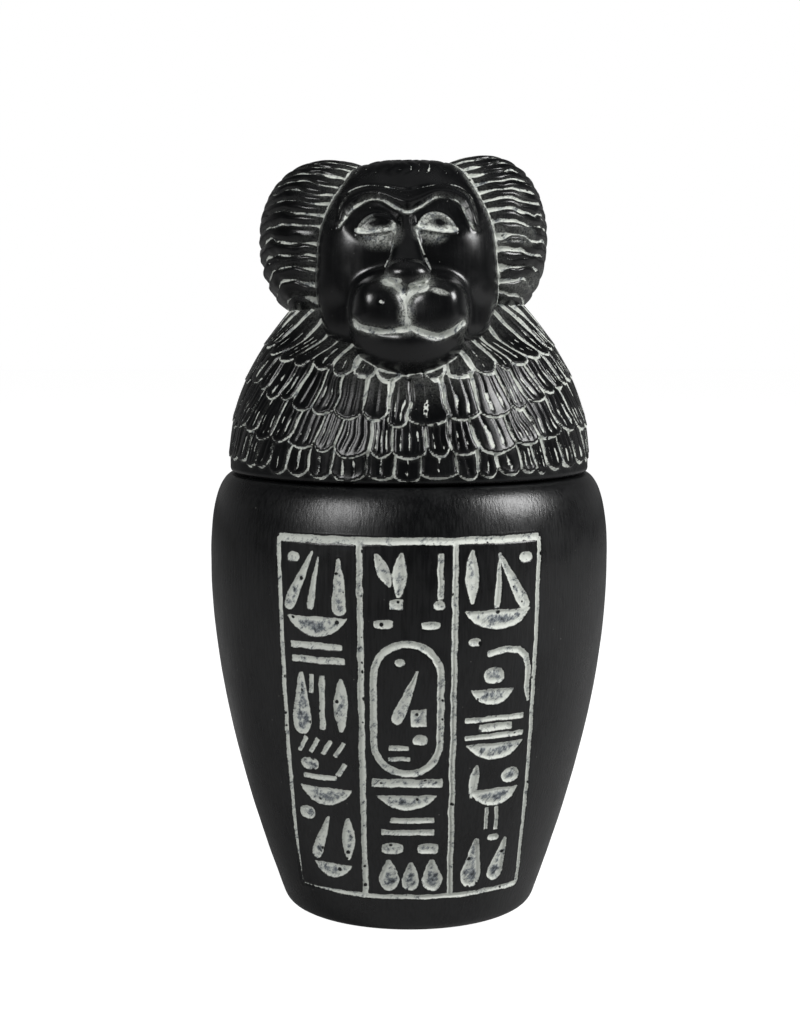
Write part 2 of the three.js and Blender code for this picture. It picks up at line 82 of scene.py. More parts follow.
def cast(name, rings, first, last, layers):
    """A closed skin of rings, each joined to the next, that closes on a point at both ends."""
    count, sides = rings.shape[:2]
    places = np.concatenate([[first], rings.reshape(-1, 3), [last]]) * MM
    here = 1 + np.arange(count * sides).reshape(count, sides)
    beside = np.roll(here, -1, axis=1)
    quads = np.stack([here[:-1], beside[:-1], beside[1:], here[1:]], -1).reshape(-1, 4)
    start = np.zeros(sides, int)
    end = np.full(sides, len(places) - 1)
    caps = np.concatenate(
        [np.stack([start, beside[0], here[0]], -1), np.stack([end, here[-1], beside[-1]], -1)]
    )
    a, b, c = places[quads[:, 0]], places[quads[:, 1]], places[quads[:, 2]]
    if np.einsum("ij,ij->i", a, np.cross(b, c)).sum() < 0:
        quads, caps = quads[:, ::-1], caps[:, ::-1]
    mesh = bpy.data.meshes.new(name)
    mesh.from_pydata(places.tolist(), [], quads.tolist() + caps.tolist())
    for label, values in layers.items():
        values = np.broadcast_to(values, (count, sides)).astype(np.float32)
        ends = values[0].mean(), values[-1].mean()
        layer = mesh.attributes.new(label, "FLOAT", "POINT")
        layer.data.foreach_set("value", np.concatenate([[ends[0]], values.ravel(), [ends[1]]]))
    mesh.shade_smooth()
    skin = bpy.data.objects.new(name, mesh)
    bpy.context.scene.collection.objects.link(skin)
    return skin


# The flank is one curve from the foot, upright at the belly. The shoulder is a full round.
def curved(spots, count):
    """Points along a curve that leaves its first spot towards the second, and ends from the third."""
    t = np.linspace(0, 1, count)[:, None]
    shares = [math.comb(3, k) * t**k * (1 - t) ** (3 - k) for k in range(4)]
    return sum(share * np.array(spot) for share, spot in zip(shares, spots))


flank = curved([(22.3, 2.0), (27.3, 16.0), (BELLY_RADIUS, 38.5), (BELLY_RADIUS, BELLY_HEIGHT)], 2001)
foot_turn = curved([(FOOT_RADIUS, 0.0), (21.3, 0.0), (21.9, 0.87), (22.3, 2.0)], 8)


def jar_radius(height):
    """The outside radius of the jar at a height."""
    height = np.asarray(height, float)
    rise = np.clip((height - BELLY_HEIGHT) / (RIM_HEIGHT - BELLY_HEIGHT + 0.3), 0, 1)
    full = (1 - rise**SHOULDER_POWER) ** (1 / SHOULDER_POWER)
    shoulder = SHOULDER_RADIUS + (BELLY_RADIUS - SHOULDER_RADIUS) * full
    return np.where(height < BELLY_HEIGHT, np.interp(height, flank[:, 1], flank[:, 0]), shoulder)


# The panel's place: across is the way round from the front, up is the height.
PANEL_TOP = 67.6
PANEL_BOTTOM = 6.8
PANEL_HALF_TOP = 22.6
PANEL_HALF_BOTTOM = 20.7
CARVED_LOW, CARVED_HIGH, CARVED_HALF = 5.4, 69.0, 24.5
FINE_STEP = 0.27


def narrowing(up):
    """How much narrower the panel is at a height than at its top, as a share."""
    return 1 - (PANEL_TOP - up) / (PANEL_TOP - PANEL_BOTTOM) * (1 - PANEL_HALF_BOTTOM / PANEL_HALF_TOP)


def beyond_stroke(across, up, path):
    """How far a place lies outside a stroke along a path of [across, up, half width]."""
    least = np.full(across.shape, 99.0)
    for (x0, z0, half0), (x1, z1, half1) in zip(path, path[1:]):
        dx, dz = x1 - x0, z1 - z0
        length = math.hypot(dx, dz)
        along = ((across - x0) * dx + (up - z0) * dz) / length
        aside = np.abs((across - x0) * dz - (up - z0) * dx) / length
        past = aside - (half0 + (half1 - half0) * np.clip(along / length, 0, 1))
        over = np.maximum(-along, along - length)
        corner = np.hypot(np.maximum(past, 0), np.maximum(over, 0))
        least = np.minimum(least, corner + np.minimum(np.maximum(past, over), 0))
    for x, z, half in path[1:-1]:
        least = np.minimum(least, np.hypot(across - x, up - z) - half)
    return least


# The strokes of the panel, none of them a letter. Each takes its middle, width and height, and
# some a lean: how far the upper end is to the right of the lower one.
def bar(x, z, wide, high):
    return [(x - wide / 2, z, high / 2), (x + wide / 2, z, high / 2)]


def post(x, z, wide, high, lean=0):
    return [(x - lean / 2, z - high / 2, wide / 2), (x + lean / 2, z + high / 2, wide / 2)]


def drop(x, z, wide, high, lean=0):
    widths = [0.3, 0.46, 0.5, 0.42, 0.3, 0.1]
    rises = [-0.5, -0.42, -0.3, -0.1, 0.15, 0.5]
    return [(x + lean * rise, z + high * rise, wide * w) for w, rise in zip(widths, rises)]


def leaf(x, z, wide, high, lean=0):
    turns = np.linspace(-1, 1, 7)
    return [(x + lean * t / 2, z + high * t / 2, wide / 2 * (1.05 - 0.85 * abs(t) ** 1.6)) for t in turns]


def lens(x, z, wide, high):
    turns = np.linspace(-1, 1, 11)
    halves = [high / 2 * (1.06 - t * t) for t in turns]
    return [(x + t * wide / 2, z + high / 2 - half, half) for t, half in zip(turns, halves)]


def spot(x, z, wide, high):
    turns = np.linspace(-0.75, 0.75, 5)
    return [(x + t * wide / 2, z, high / 2 * math.sqrt(1 - t * t)) for t in turns]


def crook(x, z, wide, high):
    right, top = x + wide / 2, z + high / 2
    return [(x - wide / 2, top - 0.6, 0.5), (x - wide * 0.1, top, 0.55), (x + wide * 0.25, top - 0.2, 0.6),
            (right - 0.5, top - 1.4, 0.6), (right, top - 3.2, 0.55), (right - 0.2, top - 6.6, 0.5),
            (right + 0.1, z - high / 2, 0.3)]  # fmt: skip


LEFT_STROKES = [
    (spot, -19.7, 64.6, 2.2, 1.6), (drop, -18.6, 60.9, 2.2, 9.4, 4.8), (drop, -15.9, 60.7, 1.3, 8.8, 1.6),
    (drop, -11.5, 60.4, 2.5, 8.8), (lens, -15.7, 53.6, 10.9, 3.1), (bar, -15.9, 50.3, 9.4, 1.1),
    (bar, -15.7, 48.0, 9.8, 1.1), (drop, -19.1, 40.8, 3.6, 9.8), (post, -15.0, 40.8, 1.0, 9.4),
    (post, -17.0, 44.0, 0.9, 3.2), (leaf, -11.6, 40.6, 2.4, 9.2), (post, -19.3, 33.4, 0.8, 2.6, 1.6),
    (post, -16.9, 33.3, 0.8, 2.6, 1.6), (post, -14.5, 33.2, 0.8, 2.6, 1.6),
    (post, -12.1, 33.0, 0.8, 2.6, 1.6), (spot, -18.0, 30.0, 4.2, 2.1),
    (post, -11.8, 29.4, 0.9, 2.2, 1.4), (bar, -16.2, 27.8, 6.4, 0.9),
    (lens, -15.2, 24.5, 9.8, 3.0), (spot, -19.2, 21.0, 2.6, 2.4), (drop, -16.4, 16.8, 2.4, 8.0, 3.0),
    (leaf, -11.0, 17.0, 2.3, 7.8), (lens, -14.7, 10.8, 7.8, 2.7),
]  # fmt: skip
MIDDLE_STROKES = [
    (leaf, -4.2, 63.0, 2.0, 5.4, -2.4), (leaf, -1.5, 62.2, 2.3, 7.2, 0.4), (post, -2.0, 57.6, 2.2, 1.6),
    (post, 5.1, 62.0, 1.0, 7.4), (spot, 4.9, 57.4, 1.8, 1.4), (spot, -4.2, 54.4, 4.2, 1.5),
    (spot, 3.6, 54.2, 3.9, 1.3), (spot, -1.5, 48.2, 1.3, 1.3), (drop, -0.4, 42.4, 2.0, 8.6, 3.6),
    (post, 1.6, 38.9, 2.6, 2.9), (spot, 1.9, 35.2, 2.0, 1.9), (bar, -1.7, 33.8, 3.4, 0.8),
    (bar, -1.6, 31.9, 3.6, 0.8), (lens, -0.3, 24.3, 9.8, 2.5), (bar, 0.6, 21.0, 7.2, 1.0),
    (bar, -0.2, 18.8, 8.8, 1.0), (spot, -2.9, 15.9, 4.6, 2.0), (spot, 3.4, 15.8, 4.6, 2.0),
    (drop, -3.6, 11.4, 3.4, 4.6), (drop, 0.3, 11.2, 3.0, 4.2), (drop, 4.2, 11.4, 3.4, 4.6),
]  # fmt: skip
RIGHT_STROKES = [
    (leaf, 10.3, 61.8, 2.3, 8.6), (drop, 14.9, 61.0, 1.3, 8.8, 0.6), (drop, 17.6, 60.9, 2.2, 9.2, -5.2),
    (spot, 19.9, 64.6, 2.8, 1.6), (lens, 15.1, 54.8, 11.8, 3.1), (spot, 10.9, 51.2, 2.0, 1.4),
    (crook, 17.3, 45.1, 7.8, 9.2), (spot, 14.6, 45.5, 2.8, 2.8), (lens, 14.5, 42.0, 7.8, 2.5),
    (bar, 15.2, 38.2, 10.8, 0.9), (bar, 15.3, 36.7, 6.0, 1.3), (bar, 15.2, 35.2, 10.8, 0.9),
    (lens, 15.4, 32.6, 10.6, 2.8), (leaf, 11.5, 27.4, 1.7, 5.8, 1.0), (spot, 18.7, 27.9, 2.7, 2.7),
    (lens, 15.7, 24.4, 9.0, 3.0), (post, 14.2, 20.4, 0.7, 4.2), (post, 16.2, 20.4, 0.7, 4.2),
    (spot, 15.8, 16.9, 2.4, 1.2), (drop, 11.9, 13.0, 3.6, 8.0, 1.2), (drop, 17.5, 12.9, 3.0, 7.2, 2.2),
]  # fmt: skip
RING_ACROSS, RING_HALF, RING_TOP, RING_BOTTOM, RING_LINE = -0.3, 5.4, 51.3, 29.3, 0.58


def panel_paths():
    """Every cut of the panel: its frame, its two dividers, the ring on its base, the strokes."""
    edge = lambda side, up: side * PANEL_HALF_TOP * narrowing(up)
    upright = lambda at, half: [(at * narrowing(up), up, half) for up in (PANEL_BOTTOM, PANEL_TOP)]
    paths = [
        [(edge(-1, PANEL_TOP), PANEL_TOP, 0.62), (edge(1, PANEL_TOP), PANEL_TOP, 0.55)],
        [(edge(-1, PANEL_BOTTOM), PANEL_BOTTOM, 0.4), (edge(1, PANEL_BOTTOM), PANEL_BOTTOM, 0.45)],
        upright(-PANEL_HALF_TOP, 0.4),
        upright(PANEL_HALF_TOP, 0.38),
        upright(-8.0, 0.5),
        upright(7.5, 0.5),
    ]
    ring = []
    for middle, start in ((RING_TOP - RING_HALF, 0), (RING_BOTTOM + RING_HALF, math.pi)):
        for angle in np.linspace(start, start + math.pi, 12):
            x, z = RING_HALF * math.cos(angle), RING_HALF * math.sin(angle)
            ring.append((RING_ACROSS + x, middle + z, RING_LINE))
    paths.append(ring + ring[:2])
    base = RING_BOTTOM - 1.6
    paths.append([(-RING_HALF - 0.6, base, 0.75), (RING_HALF + 0.1, base, 0.75)])
    for kind, across, up, *size in LEFT_STROKES + MIDDLE_STROKES + RIGHT_STROKES:
        paths.append([(across * narrowing(up) + x, z, half) for x, z, half in kind(0, up, *size)])
    return paths


# The jar's outline, from the middle of the underside up the outside and down the inside.
low_edge = [(FOOT_RADIUS * share, 0.0) for share in (0.4, 0.75, 0.97)]
low_edge += foot_turn.tolist()
heights = np.concatenate(
    [np.linspace(2.6, CARVED_LOW, 6)[:-1], np.arange(CARVED_LOW, CARVED_HIGH, FINE_STEP),
     np.arange(CARVED_HIGH, 75.0, 0.45), [75.2, 75.45, 75.65]]
)  # fmt: skip
rim = [(31.1, 75.75), (30.9, RIM_HEIGHT), (RIM_RADIUS, RIM_HEIGHT), (27.0, RIM_HEIGHT), (24.1, RIM_HEIGHT),
       (23.65, 75.65), (MOUTH_RADIUS, 75.3), (MOUTH_RADIUS, 73.0), (MOUTH_RADIUS, 70.7),
       (23.8, 70.1)]  # fmt: skip
inside = [(float(jar_radius(z)) - WALL, z) for z in (64, 60, 54, 48, 42, 36, 30, 24, 18, 12, 8.5)]
inner_foot = float(jar_radius(FLOOR)) - WALL
inside += [(inner_foot - 1.4, 6.8), (inner_foot - 3, FLOOR), (9.0, FLOOR)]
outline = np.array(low_edge + [(float(jar_radius(z)), z) for z in heights] + rim + inside)

# The columns stand close over the panel, and follow its taper. Behind it they stand wide.
panel_up = np.clip(outline[:, 1], CARVED_LOW, CARVED_HIGH)[:, None]
front_columns = np.linspace(-CARVED_HALF, CARVED_HALF, 2 * round(CARVED_HALF / FINE_STEP) + 1)[None, :]
front_angles = front_columns * narrowing(panel_up) / jar_radius(panel_up)
behind = np.linspace(0, 1, 82)[1:-1][None, :]
turned_past = front_angles[:, -1:]
back_angles = turned_past + behind * (2 * math.pi - 2 * turned_past)
jar_angles = np.concatenate([front_angles, back_angles], 1)

outer = np.zeros(len(outline), bool)
outer[len(low_edge) : len(low_edge) + len(heights)] = True
up = np.broadcast_to(outline[:, 1:2], jar_angles.shape)
across = jar_angles * jar_radius(panel_up)
across = np.where(across > math.pi * jar_radius(panel_up), 99.0, across)
flat_places = np.stack([across, up, np.zeros_like(across)], -1)
shaken_across = across + 0.11 * uneven(flat_places, 1.7, 1) + 0.06 * uneven(flat_places, 0.6, 2)
shaken_up = up + 0.11 * uneven(flat_places, 1.5, 3) + 0.06 * uneven(flat_places, 0.55, 4)
FAR_OFF = 9.0  # the distance given to places with no paint near them
outside_cut = np.full(jar_angles.shape, FAR_OFF)
carved_rows = outer & (outline[:, 1] > CARVED_LOW - 0.1) & (outline[:, 1] < CARVED_HIGH)
fine = np.ix_(carved_rows, np.arange(front_columns.size))
for path in panel_paths():
    beyond = beyond_stroke(shaken_across[fine], shaken_up[fine], path)
    outside_cut[fine] = np.minimum(outside_cut[fine], beyond)
# A cut is shallower in the middle of a wide one, and the tool left a low burr beside it.
CUT_DEPTH = 0.38
BURR_HIGH, BURR_OUT, BURR_WIDE = 0.03, 0.12, 0.15
cut = CUT_DEPTH * eased(0.06, -0.4, outside_cut) * (1 - 0.4 * eased(-0.45, -1.2, outside_cut))
burr = BURR_HIGH * ridge(outside_cut - BURR_OUT, BURR_WIDE)
round_places = np.stack([np.sin(jar_angles) * 34, -np.cos(jar_angles) * 34, up], -1)
hand_made = 0.056 * uneven(round_places, 9.0, 5) + 0.024 * uneven(round_places, 3.0, 6)
jar_out = outline[:, :1] + np.where(outer[:, None], hand_made - cut + burr, 0)
jar_rings = np.stack([jar_out * np.sin(jar_angles), -jar_out * np.cos(jar_angles), up], -1)
# The paint is rubbed away at the lower left corner of the panel.
WORN_ACROSS, WORN_UP = -19, 8
worn_corner = ridge(across - WORN_ACROSS, 5) * ridge(up - WORN_UP, 6)
jar_layers = {
    "wipe": outside_cut + 0.35 * worn_corner,
    "rubbed": np.clip(eased(-0.4, -1.1, outside_cut) + 0.5 * worn_corner, 0, 1),
    "film": 0.0,
}
jar_skin = cast("carved_jar", jar_rings, (0, 0, 0), (0, 0, FLOOR), jar_layers)


# Both pieces share two effects: the black resin as it was cast and brushed, and the paint that
# was wiped over it. Each is a group of nodes, and works in millimetres.
def add(tree, kind, feeds=None, **settings):
    """One node, with its settings, and its inputs fed by a socket or set to a value."""
    node = tree.nodes.new(kind)
    for key, value in settings.items():
        setattr(node, key, value)
    for label, feed in (feeds or {}).items():
        if isinstance(feed, bpy.types.NodeSocket):
            tree.links.new(feed, node.inputs[label])
        else:
            node.inputs[label].default_value = feed
    return node


def reckon(tree, operation, *feeds):
    """One sum with sockets or values."""
    return add(tree, "ShaderNodeMath", dict(enumerate(feeds)), operation=operation).outputs[0]


def ranged(tree, value, low, high, start=0.0, end=1.0):
    """A value eased from one range to another."""
    feeds = {"Value": value, "From Min": low, "From Max": high, "To Min": start, "To Max": end}
    return add(tree, "ShaderNodeMapRange", feeds, interpolation_type="SMOOTHSTEP").outputs["Result"]


def grain(tree, place, stretch, detail=2.0, roughness=0.55, tilt=0.0):
    """Cloudy chance values from 0 to 1. The stretch is how many clouds there are per millimetre."""
    feeds = {"Vector": place, "Rotation": (0, tilt, 0), "Scale": stretch}
    kind = "TEXTURE" if tilt else "POINT"
    scaled = add(tree, "ShaderNodeMapping", feeds, vector_type=kind).outputs["Vector"]
    feeds = {"Vector": scaled, "Scale": 1.0, "Detail": detail, "Roughness": roughness}
    return add(tree, "ShaderNodeTexNoise", feeds).outputs["Fac"]


def specks(tree, place, per_mm, largest, rarity):
    """Small round spots, 1 in a spot and 0 outside; the rarity is the share of places left empty."""
    feeds = {"Vector": place, "Scale": per_mm, "Randomness": 1.0}
    cells = add(tree, "ShaderNodeTexVoronoi", feeds)
    chance = add(tree, "ShaderNodeSeparateColor", {"Color": cells.outputs["Color"]})
    size = ranged(tree, chance.outputs["Red"], rarity, 1.0, 0.0, largest * per_mm)
    return ranged(tree, reckon(tree, "SUBTRACT", cells.outputs["Distance"], size), 0.0, -0.06)


def tinted(tree, share, first, second):
    """Two colours, mixed by a share."""
    node = add(tree, "ShaderNodeMix", {0: share, 6: first, 7: second}, data_type="RGBA")
    return node.outputs[2]


def effect(name, inputs, outputs):
    """An empty group of nodes with its named inputs and outputs."""
    tree = bpy.data.node_groups.new(name, "ShaderNodeTree")
    for way, sockets in (("INPUT", inputs), ("OUTPUT", outputs)):
        for label, kind in sockets:
            tree.interface.new_socket(label, in_out=way, socket_type="NodeSocket" + kind)
    return tree, tree.nodes.new("NodeGroupInput").outputs, tree.nodes.new("NodeGroupOutput").inputs


BLACK = (0.0026, 0.0028, 0.0032, 1)
WORN_BLACK = (0.0070, 0.0073, 0.0078, 1)
DUST = (0.16, 0.16, 0.15, 1)
CLOUDS, BRUSH_MARKS, GRIT = (0.16, 0.16, 0.16), (2.6, 2.6, 0.16), (4.0, 4.0, 4.0)
SHINIEST, DULLEST = 0.12, 0.19
resin, into, out = effect(
    "cast_resin",
    [("Place", "Vector"), ("Brushed", "Float")],
    [("Colour", "Color"), ("Roughness", "Float"), ("Height", "Float")],
)
clouds = grain(resin, into["Place"], CLOUDS, 4.0)
brush = grain(resin, into["Place"], BRUSH_MARKS, 3.0, 0.6)
grit = grain(resin, into["Place"], GRIT, 3.0, 0.65)
pocks = specks(resin, into["Place"], 0.35, 0.16, 0.7)
dust = specks(resin, into["Place"], 0.8, 0.12, 0.6)
streaky = reckon(resin, "MULTIPLY", reckon(resin, "SUBTRACT", brush, 0.45), into["Brushed"])
dark = tinted(resin, ranged(resin, reckon(resin, "ADD", clouds, streaky), 0.4, 0.75), BLACK, WORN_BLACK)
resin.links.new(tinted(resin, dust, dark, DUST), out["Colour"])
sheen = ranged(resin, clouds, 0.3, 0.7, SHINIEST, DULLEST)
sheen = reckon(resin, "MULTIPLY_ADD", brush, 0.14, sheen)
sheen = reckon(resin, "MULTIPLY_ADD", into["Brushed"], 0.05, sheen)
resin.links.new(sheen, out["Roughness"])
brushed = reckon(resin, "MULTIPLY", reckon(resin, "SUBTRACT", brush, 0.5), into["Brushed"])
relief = reckon(resin, "MULTIPLY_ADD", grit, 0.35, brushed)
resin.links.new(reckon(resin, "SUBTRACT", relief, pocks), out["Height"])

# Wipe is how far a place lies outside the paint, in millimetres. Where it is rubbed, the paint is
# scratched through and bluish. Film is how much of a thin veil was left beside it; on the face and
# the mane it also carries painted highlight, and a painted shadow under each upper lid.
OFF_WHITE = (0.64, 0.665, 0.615, 1)
GREY_BLUE = (0.15, 0.17, 0.19, 1)
SCRATCH_TILT = 0.75
paint, into, out = effect(
    "wiped_paint",
    [("Place", "Vector"), ("Wipe", "Float"), ("Rubbed", "Float"), ("Film", "Float")],
    [("Mask", "Float"), ("Colour", "Color"), ("Height", "Float")],
)
ragged = grain(paint, into["Place"], (3.2, 3.2, 3.2), 4.0, 0.75)
edge = reckon(paint, "MULTIPLY_ADD", reckon(paint, "SUBTRACT", ragged, 0.5), 0.36, into["Wipe"])
filled = ranged(paint, edge, 0.035, -0.045)
scratched = grain(paint, into["Place"], (0.3, 0.3, 1.6), 4.0, 0.7, SCRATCH_TILT)
patches = grain(paint, into["Place"], (0.8, 0.8, 0.8), 4.0, 0.7)
worn = reckon(paint, "MULTIPLY_ADD", reckon(paint, "SUBTRACT", scratched, 0.5), 0.5, patches)
bare = ranged(paint, reckon(paint, "MULTIPLY_ADD", into["Rubbed"], 0.1, worn), 0.62, 0.76)
pits = specks(paint, into["Place"], 0.7, 0.42, 0.45)
kept = reckon(paint, "MULTIPLY", filled, reckon(paint, "SUBTRACT", 1.0, reckon(paint, "MULTIPLY", bare, 0.8)))
clear = reckon(paint, "MULTIPLY", kept, reckon(paint, "SUBTRACT", 1.0, pits))
streaks = grain(paint, into["Place"], (3.0, 3.0, 3.0), 5.0, 0.85)
veil = reckon(paint, "MULTIPLY", into["Film"], ranged(paint, streaks, 0.41, 0.58, 0.15, 1.1))
paint.links.new(reckon(paint, "MAXIMUM", clear, veil), out["Mask"])
bluish = ranged(paint, reckon(paint, "MULTIPLY_ADD", into["Rubbed"], 0.2, worn), 0.5, 0.74)
paint.links.new(tinted(paint, bluish, OFF_WHITE, GREY_BLUE), out["Colour"])
thickness = reckon(paint, "MULTIPLY_ADD", ragged, 0.6, 0.4)
paint.links.new(reckon(paint, "MULTIPLY", clear, thickness), out["Height"])


def layer_value(tree, label):
    """The value that a skin's mesh carries under a name."""
    return add(tree, "ShaderNodeAttribute", attribute_name=label).outputs["Fac"]


def painted_resin(name, brushed, gloss, shallow_lines=False):
    """The black resin with the wiped paint on it, as a material of its own."""
    material = bpy.data.materials.new(name)
    material.use_nodes = True
    tree = material.node_tree
    shader = tree.nodes["Principled BSDF"]
    place = add(tree, "ShaderNodeTexCoord").outputs["Object"]
    place = add(tree, "ShaderNodeMapping", {"Vector": place, "Scale": (1000, 1000, 1000)}).outputs["Vector"]
    under = add(tree, "ShaderNodeGroup", node_tree=resin)
    over = add(tree, "ShaderNodeGroup", node_tree=paint)
    under.inputs["Brushed"].default_value = brushed
    for group in (under, over):
        tree.links.new(place, group.inputs["Place"])
    wipe = layer_value(tree, "wipe")
    if shallow_lines:
        # The fine lines of a feather: the layer counts them, and a whole number is a line.
        from_line = reckon(tree, "PINGPONG", layer_value(tree, "barb"), 0.5)
        half_wide = ranged(tree, grain(tree, place, (0.7, 0.7, 0.4), 3.0), 0.40, 0.60, -0.06, 0.14)
        half_wide = reckon(tree, "ADD", half_wide, layer_value(tree, "barb_half"))
        from_line = reckon(tree, "MULTIPLY_ADD", from_line, 1.2, reckon(tree, "MULTIPLY", half_wide, -1.0))
        wipe = reckon(tree, "MINIMUM", wipe, from_line)
    tree.links.new(wipe, over.inputs["Wipe"])
    tree.links.new(layer_value(tree, "rubbed"), over.inputs["Rubbed"])
    tree.links.new(layer_value(tree, "film"), over.inputs["Film"])
    mask = over.outputs["Mask"]
    colour = tinted(tree, mask, under.outputs["Colour"], over.outputs["Colour"])
    tree.links.new(colour, shader.inputs["Base Color"])
    dull = reckon(tree, "MULTIPLY_ADD", mask, 0.42, under.outputs["Roughness"])
    tree.links.new(dull, shader.inputs["Roughness"])
    height = reckon(tree, "MULTIPLY_ADD", over.outputs["Height"], 1.2, under.outputs["Height"])
    bump = add(tree, "ShaderNodeBump", {"Height": height, "Strength": 0.5, "Distance": 0.00005})
    tree.links.new(bump.outputs["Normal"], shader.inputs["Normal"])
    shader.inputs["Specular IOR Level"].default_value = gloss
    return material


jar_skin.data.materials.append(painted_resin("brushed_black_resin", 1.7, 0.45))
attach(jar_skin, "root")
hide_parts("jar")


# The head: the lid's knob, a baboon's face and skull modelled from round masses of the same
# resin, cast in one with the mane and the cape. Paint stays in the eyes, the mouth and creases.
HEAD_MASSES = [  # middle, half sizes, fullness, where 2 is a plain ellipsoid, and the fillet's width
    ((0, -3, 113.6), (16.2, 15.5, 15.7), 2.6, 3.0),  # skull
    ((-0.5, -9.5, 111.2), (15.3, 12.4, 13.4), 2.8, 3.0),  # face
    ((-0.4, -12.4, 101.0), (13.6, 10.8, 7.6), 2.0, 3.0),  # jowls
    ((0.15, -22.6, 103.3), (8.9, 8.4, 7.0), 2.25, 2.4),  # muzzle
    ((-4.2, -24.6, 104.2), (4.8, 7.4, 4.9), 2.8, 2.4),  # left lip
    ((4.4, -24.6, 104.2), (4.8, 7.4, 4.9), 2.8, 2.4),  # right lip
    ((-0.1, -23.4, 99.3), (9.0, 8.3, 7.1), 1.75, 0.8),  # lower jaw
    ((-0.35, -29.9, 109.5), (3.7, 3.0, 2.3), 2.0, 0.5),  # tip of the nose
]
HEAD_MIDDLE = np.array([0.0, -2.0, 109.0])
MANE_MASSES = {
    "left": ((-13.2, 0, 115.3), (12.6, 15.4, 14.2), 2.2),
    "right": ((12.2, 0, 115.9), (11.5, 15.4, 14.4), 2.2),
}


def beyond_mass(places, mass):
    """How far a place lies outside one mass, measured along the way to its middle."""
    middle, half, full = mass[:3]
    offset = places - np.array(middle)
    size = (np.abs(offset / np.array(half)) ** full).sum(-1) ** (1 / full)
    return np.linalg.norm(offset, axis=-1) * (1 - 1 / np.maximum(size, 1e-6))


def run_together(one, other, width):
    """The nearer of two distances, with a soft fillet where they meet."""
    share = np.maximum(width - np.abs(one - other), 0) / width
    return np.minimum(one, other) - share * share * width / 4


# The bridge of the nose: a rod with a flat top that widens from between the eyes to the nose.
BRIDGE_TOP = np.array([-0.45, -20.2, 117.4])
BRIDGE_TIP = np.array([-0.35, -28.4, 110.2])
BRIDGE_HALF = (1.65, 3.2)
BRIDGE_THICK = 2.1
BRIDGE_FULL = 2.4


def beyond_bridge(places):
    """How far a place lies outside the bridge of the nose."""
    way = BRIDGE_TIP - BRIDGE_TOP
    length = np.linalg.norm(way)
    along = (places - BRIDGE_TOP) @ way / length
    offset = places - BRIDGE_TOP - along[..., None] * way / length
    half = BRIDGE_HALF[0] + (BRIDGE_HALF[1] - BRIDGE_HALF[0]) * np.clip(along / length, 0, 1)
    over = np.hypot(offset[..., 1], offset[..., 2]) / BRIDGE_THICK
    past = np.maximum(np.maximum(-along, along - length), 0) / BRIDGE_THICK
    aside = np.abs(offset[..., 0] / half)
    size = (aside**BRIDGE_FULL + over**BRIDGE_FULL + past**BRIDGE_FULL) ** (1 / BRIDGE_FULL)
    return (size - 1) * BRIDGE_THICK


def beyond_head(places):
    """How far a place lies outside the head, with all its masses run together."""
    least = beyond_mass(places, HEAD_MASSES[0])
    for mass in HEAD_MASSES[1:-1]:
        least = run_together(least, beyond_mass(places, mass), mass[3])
    least = run_together(least, beyond_bridge(places), 1.0)
    return run_together(least, beyond_mass(places, HEAD_MASSES[-1]), HEAD_MASSES[-1][3])


def flowing(path, steps=4):
    """A smooth line through points, as more points."""
    spots = np.array([path[0], *path, path[-1]], float)
    t = np.linspace(0, 1, steps, endpoint=False)[:, None]
    parts = []
    for a, b, c, d in zip(spots, spots[1:], spots[2:], spots[3:]):
        bend = 2 * a - 5 * b + 4 * c - d
        parts.append(b + 0.5 * t * (c - a + t * (bend + t * (3 * (b - c) + d - a))))
    return np.concatenate([*parts, spots[-1:]])


def from_line(x, z, path):
    """How far a place seen from the front lies from a line through points [x, z]."""
    return beyond_stroke(x, z, [(*spot, 0.0) for spot in path])


# The lines of the face seen from the front, as across and up. The brow lies between two creases.
UPPER_CREASE = flowing([
    (-11.6, 117.9), (-11.3, 120.9), (-10.1, 123.1), (-7.5, 124.2), (-4.3, 124.1), (-2.0, 123.6),
    (-0.1, 123.3), (1.7, 123.8), (4.5, 124.4), (6.8, 124.5), (9.4, 123.4), (10.8, 121.0), (11.3, 117.9),
])  # fmt: skip
LOWER_CREASE = flowing([
    (-11.4, 117.4), (-10.4, 118.8), (-9.3, 120.3), (-6.8, 121.8), (-5.5, 122.0), (-4.2, 121.7), (-2.3, 120.6),
    (-0.2, 119.7), (1.8, 120.6), (3.9, 122.0), (5.4, 122.4), (7.0, 122.1), (8.4, 121.3), (9.3, 119.6),
    (9.9, 118.3), (10.6, 117.0),
])  # fmt: skip
BROW = flowing([
    (-11.5, 118.4), (-10.9, 120.2), (-9.5, 122.0), (-7.0, 123.0), (-4.6, 122.9), (-2.2, 122.0), (-0.2, 121.5),
    (1.8, 122.1), (4.4, 123.3), (7.0, 123.3), (9.2, 122.1), (10.2, 120.0), (11.0, 117.8),
])  # fmt: skip
EYES = [(-5.35, 117.6, -1), (4.55, 117.8, 1)]  # middle, and the side of the face
EYE_HALF = 3.2  # from the middle of an eye to its corners, which lie lower than the middle
EYE_RISE, EYE_FALL, CORNER_FALL = 3.0, 0.5, 0.95
LID_WIDE = 0.75
IRIS_HALF = {-1: (1.5, 0.5), 1: (1.4, 0.7)}
BRIDGE_SIDES = [
    flowing([(-2.1, 117.2), (-2.5, 114.7), (-3.0, 112.9), (-3.9, 110.9)]),
    flowing([(1.2, 118.2), (1.3, 116.2), (1.9, 114.2), (2.6, 112.4), (3.5, 110.4)]),
]
NOSTRILS = [(-2.3, 108.6), (1.6, 108.3)]
LIP_LINES = [
    flowing([(-3.4, 108.6), (-2.2, 107.9), (-1.2, 106.7), (-0.5, 105.2), (-0.4, 103.4), (-0.4, 102.2),
             (-0.3, 101.1)]),
    flowing([(2.8, 108.3), (1.2, 107.3), (0.2, 106.3), (-0.4, 105.2)]),
]  # fmt: skip
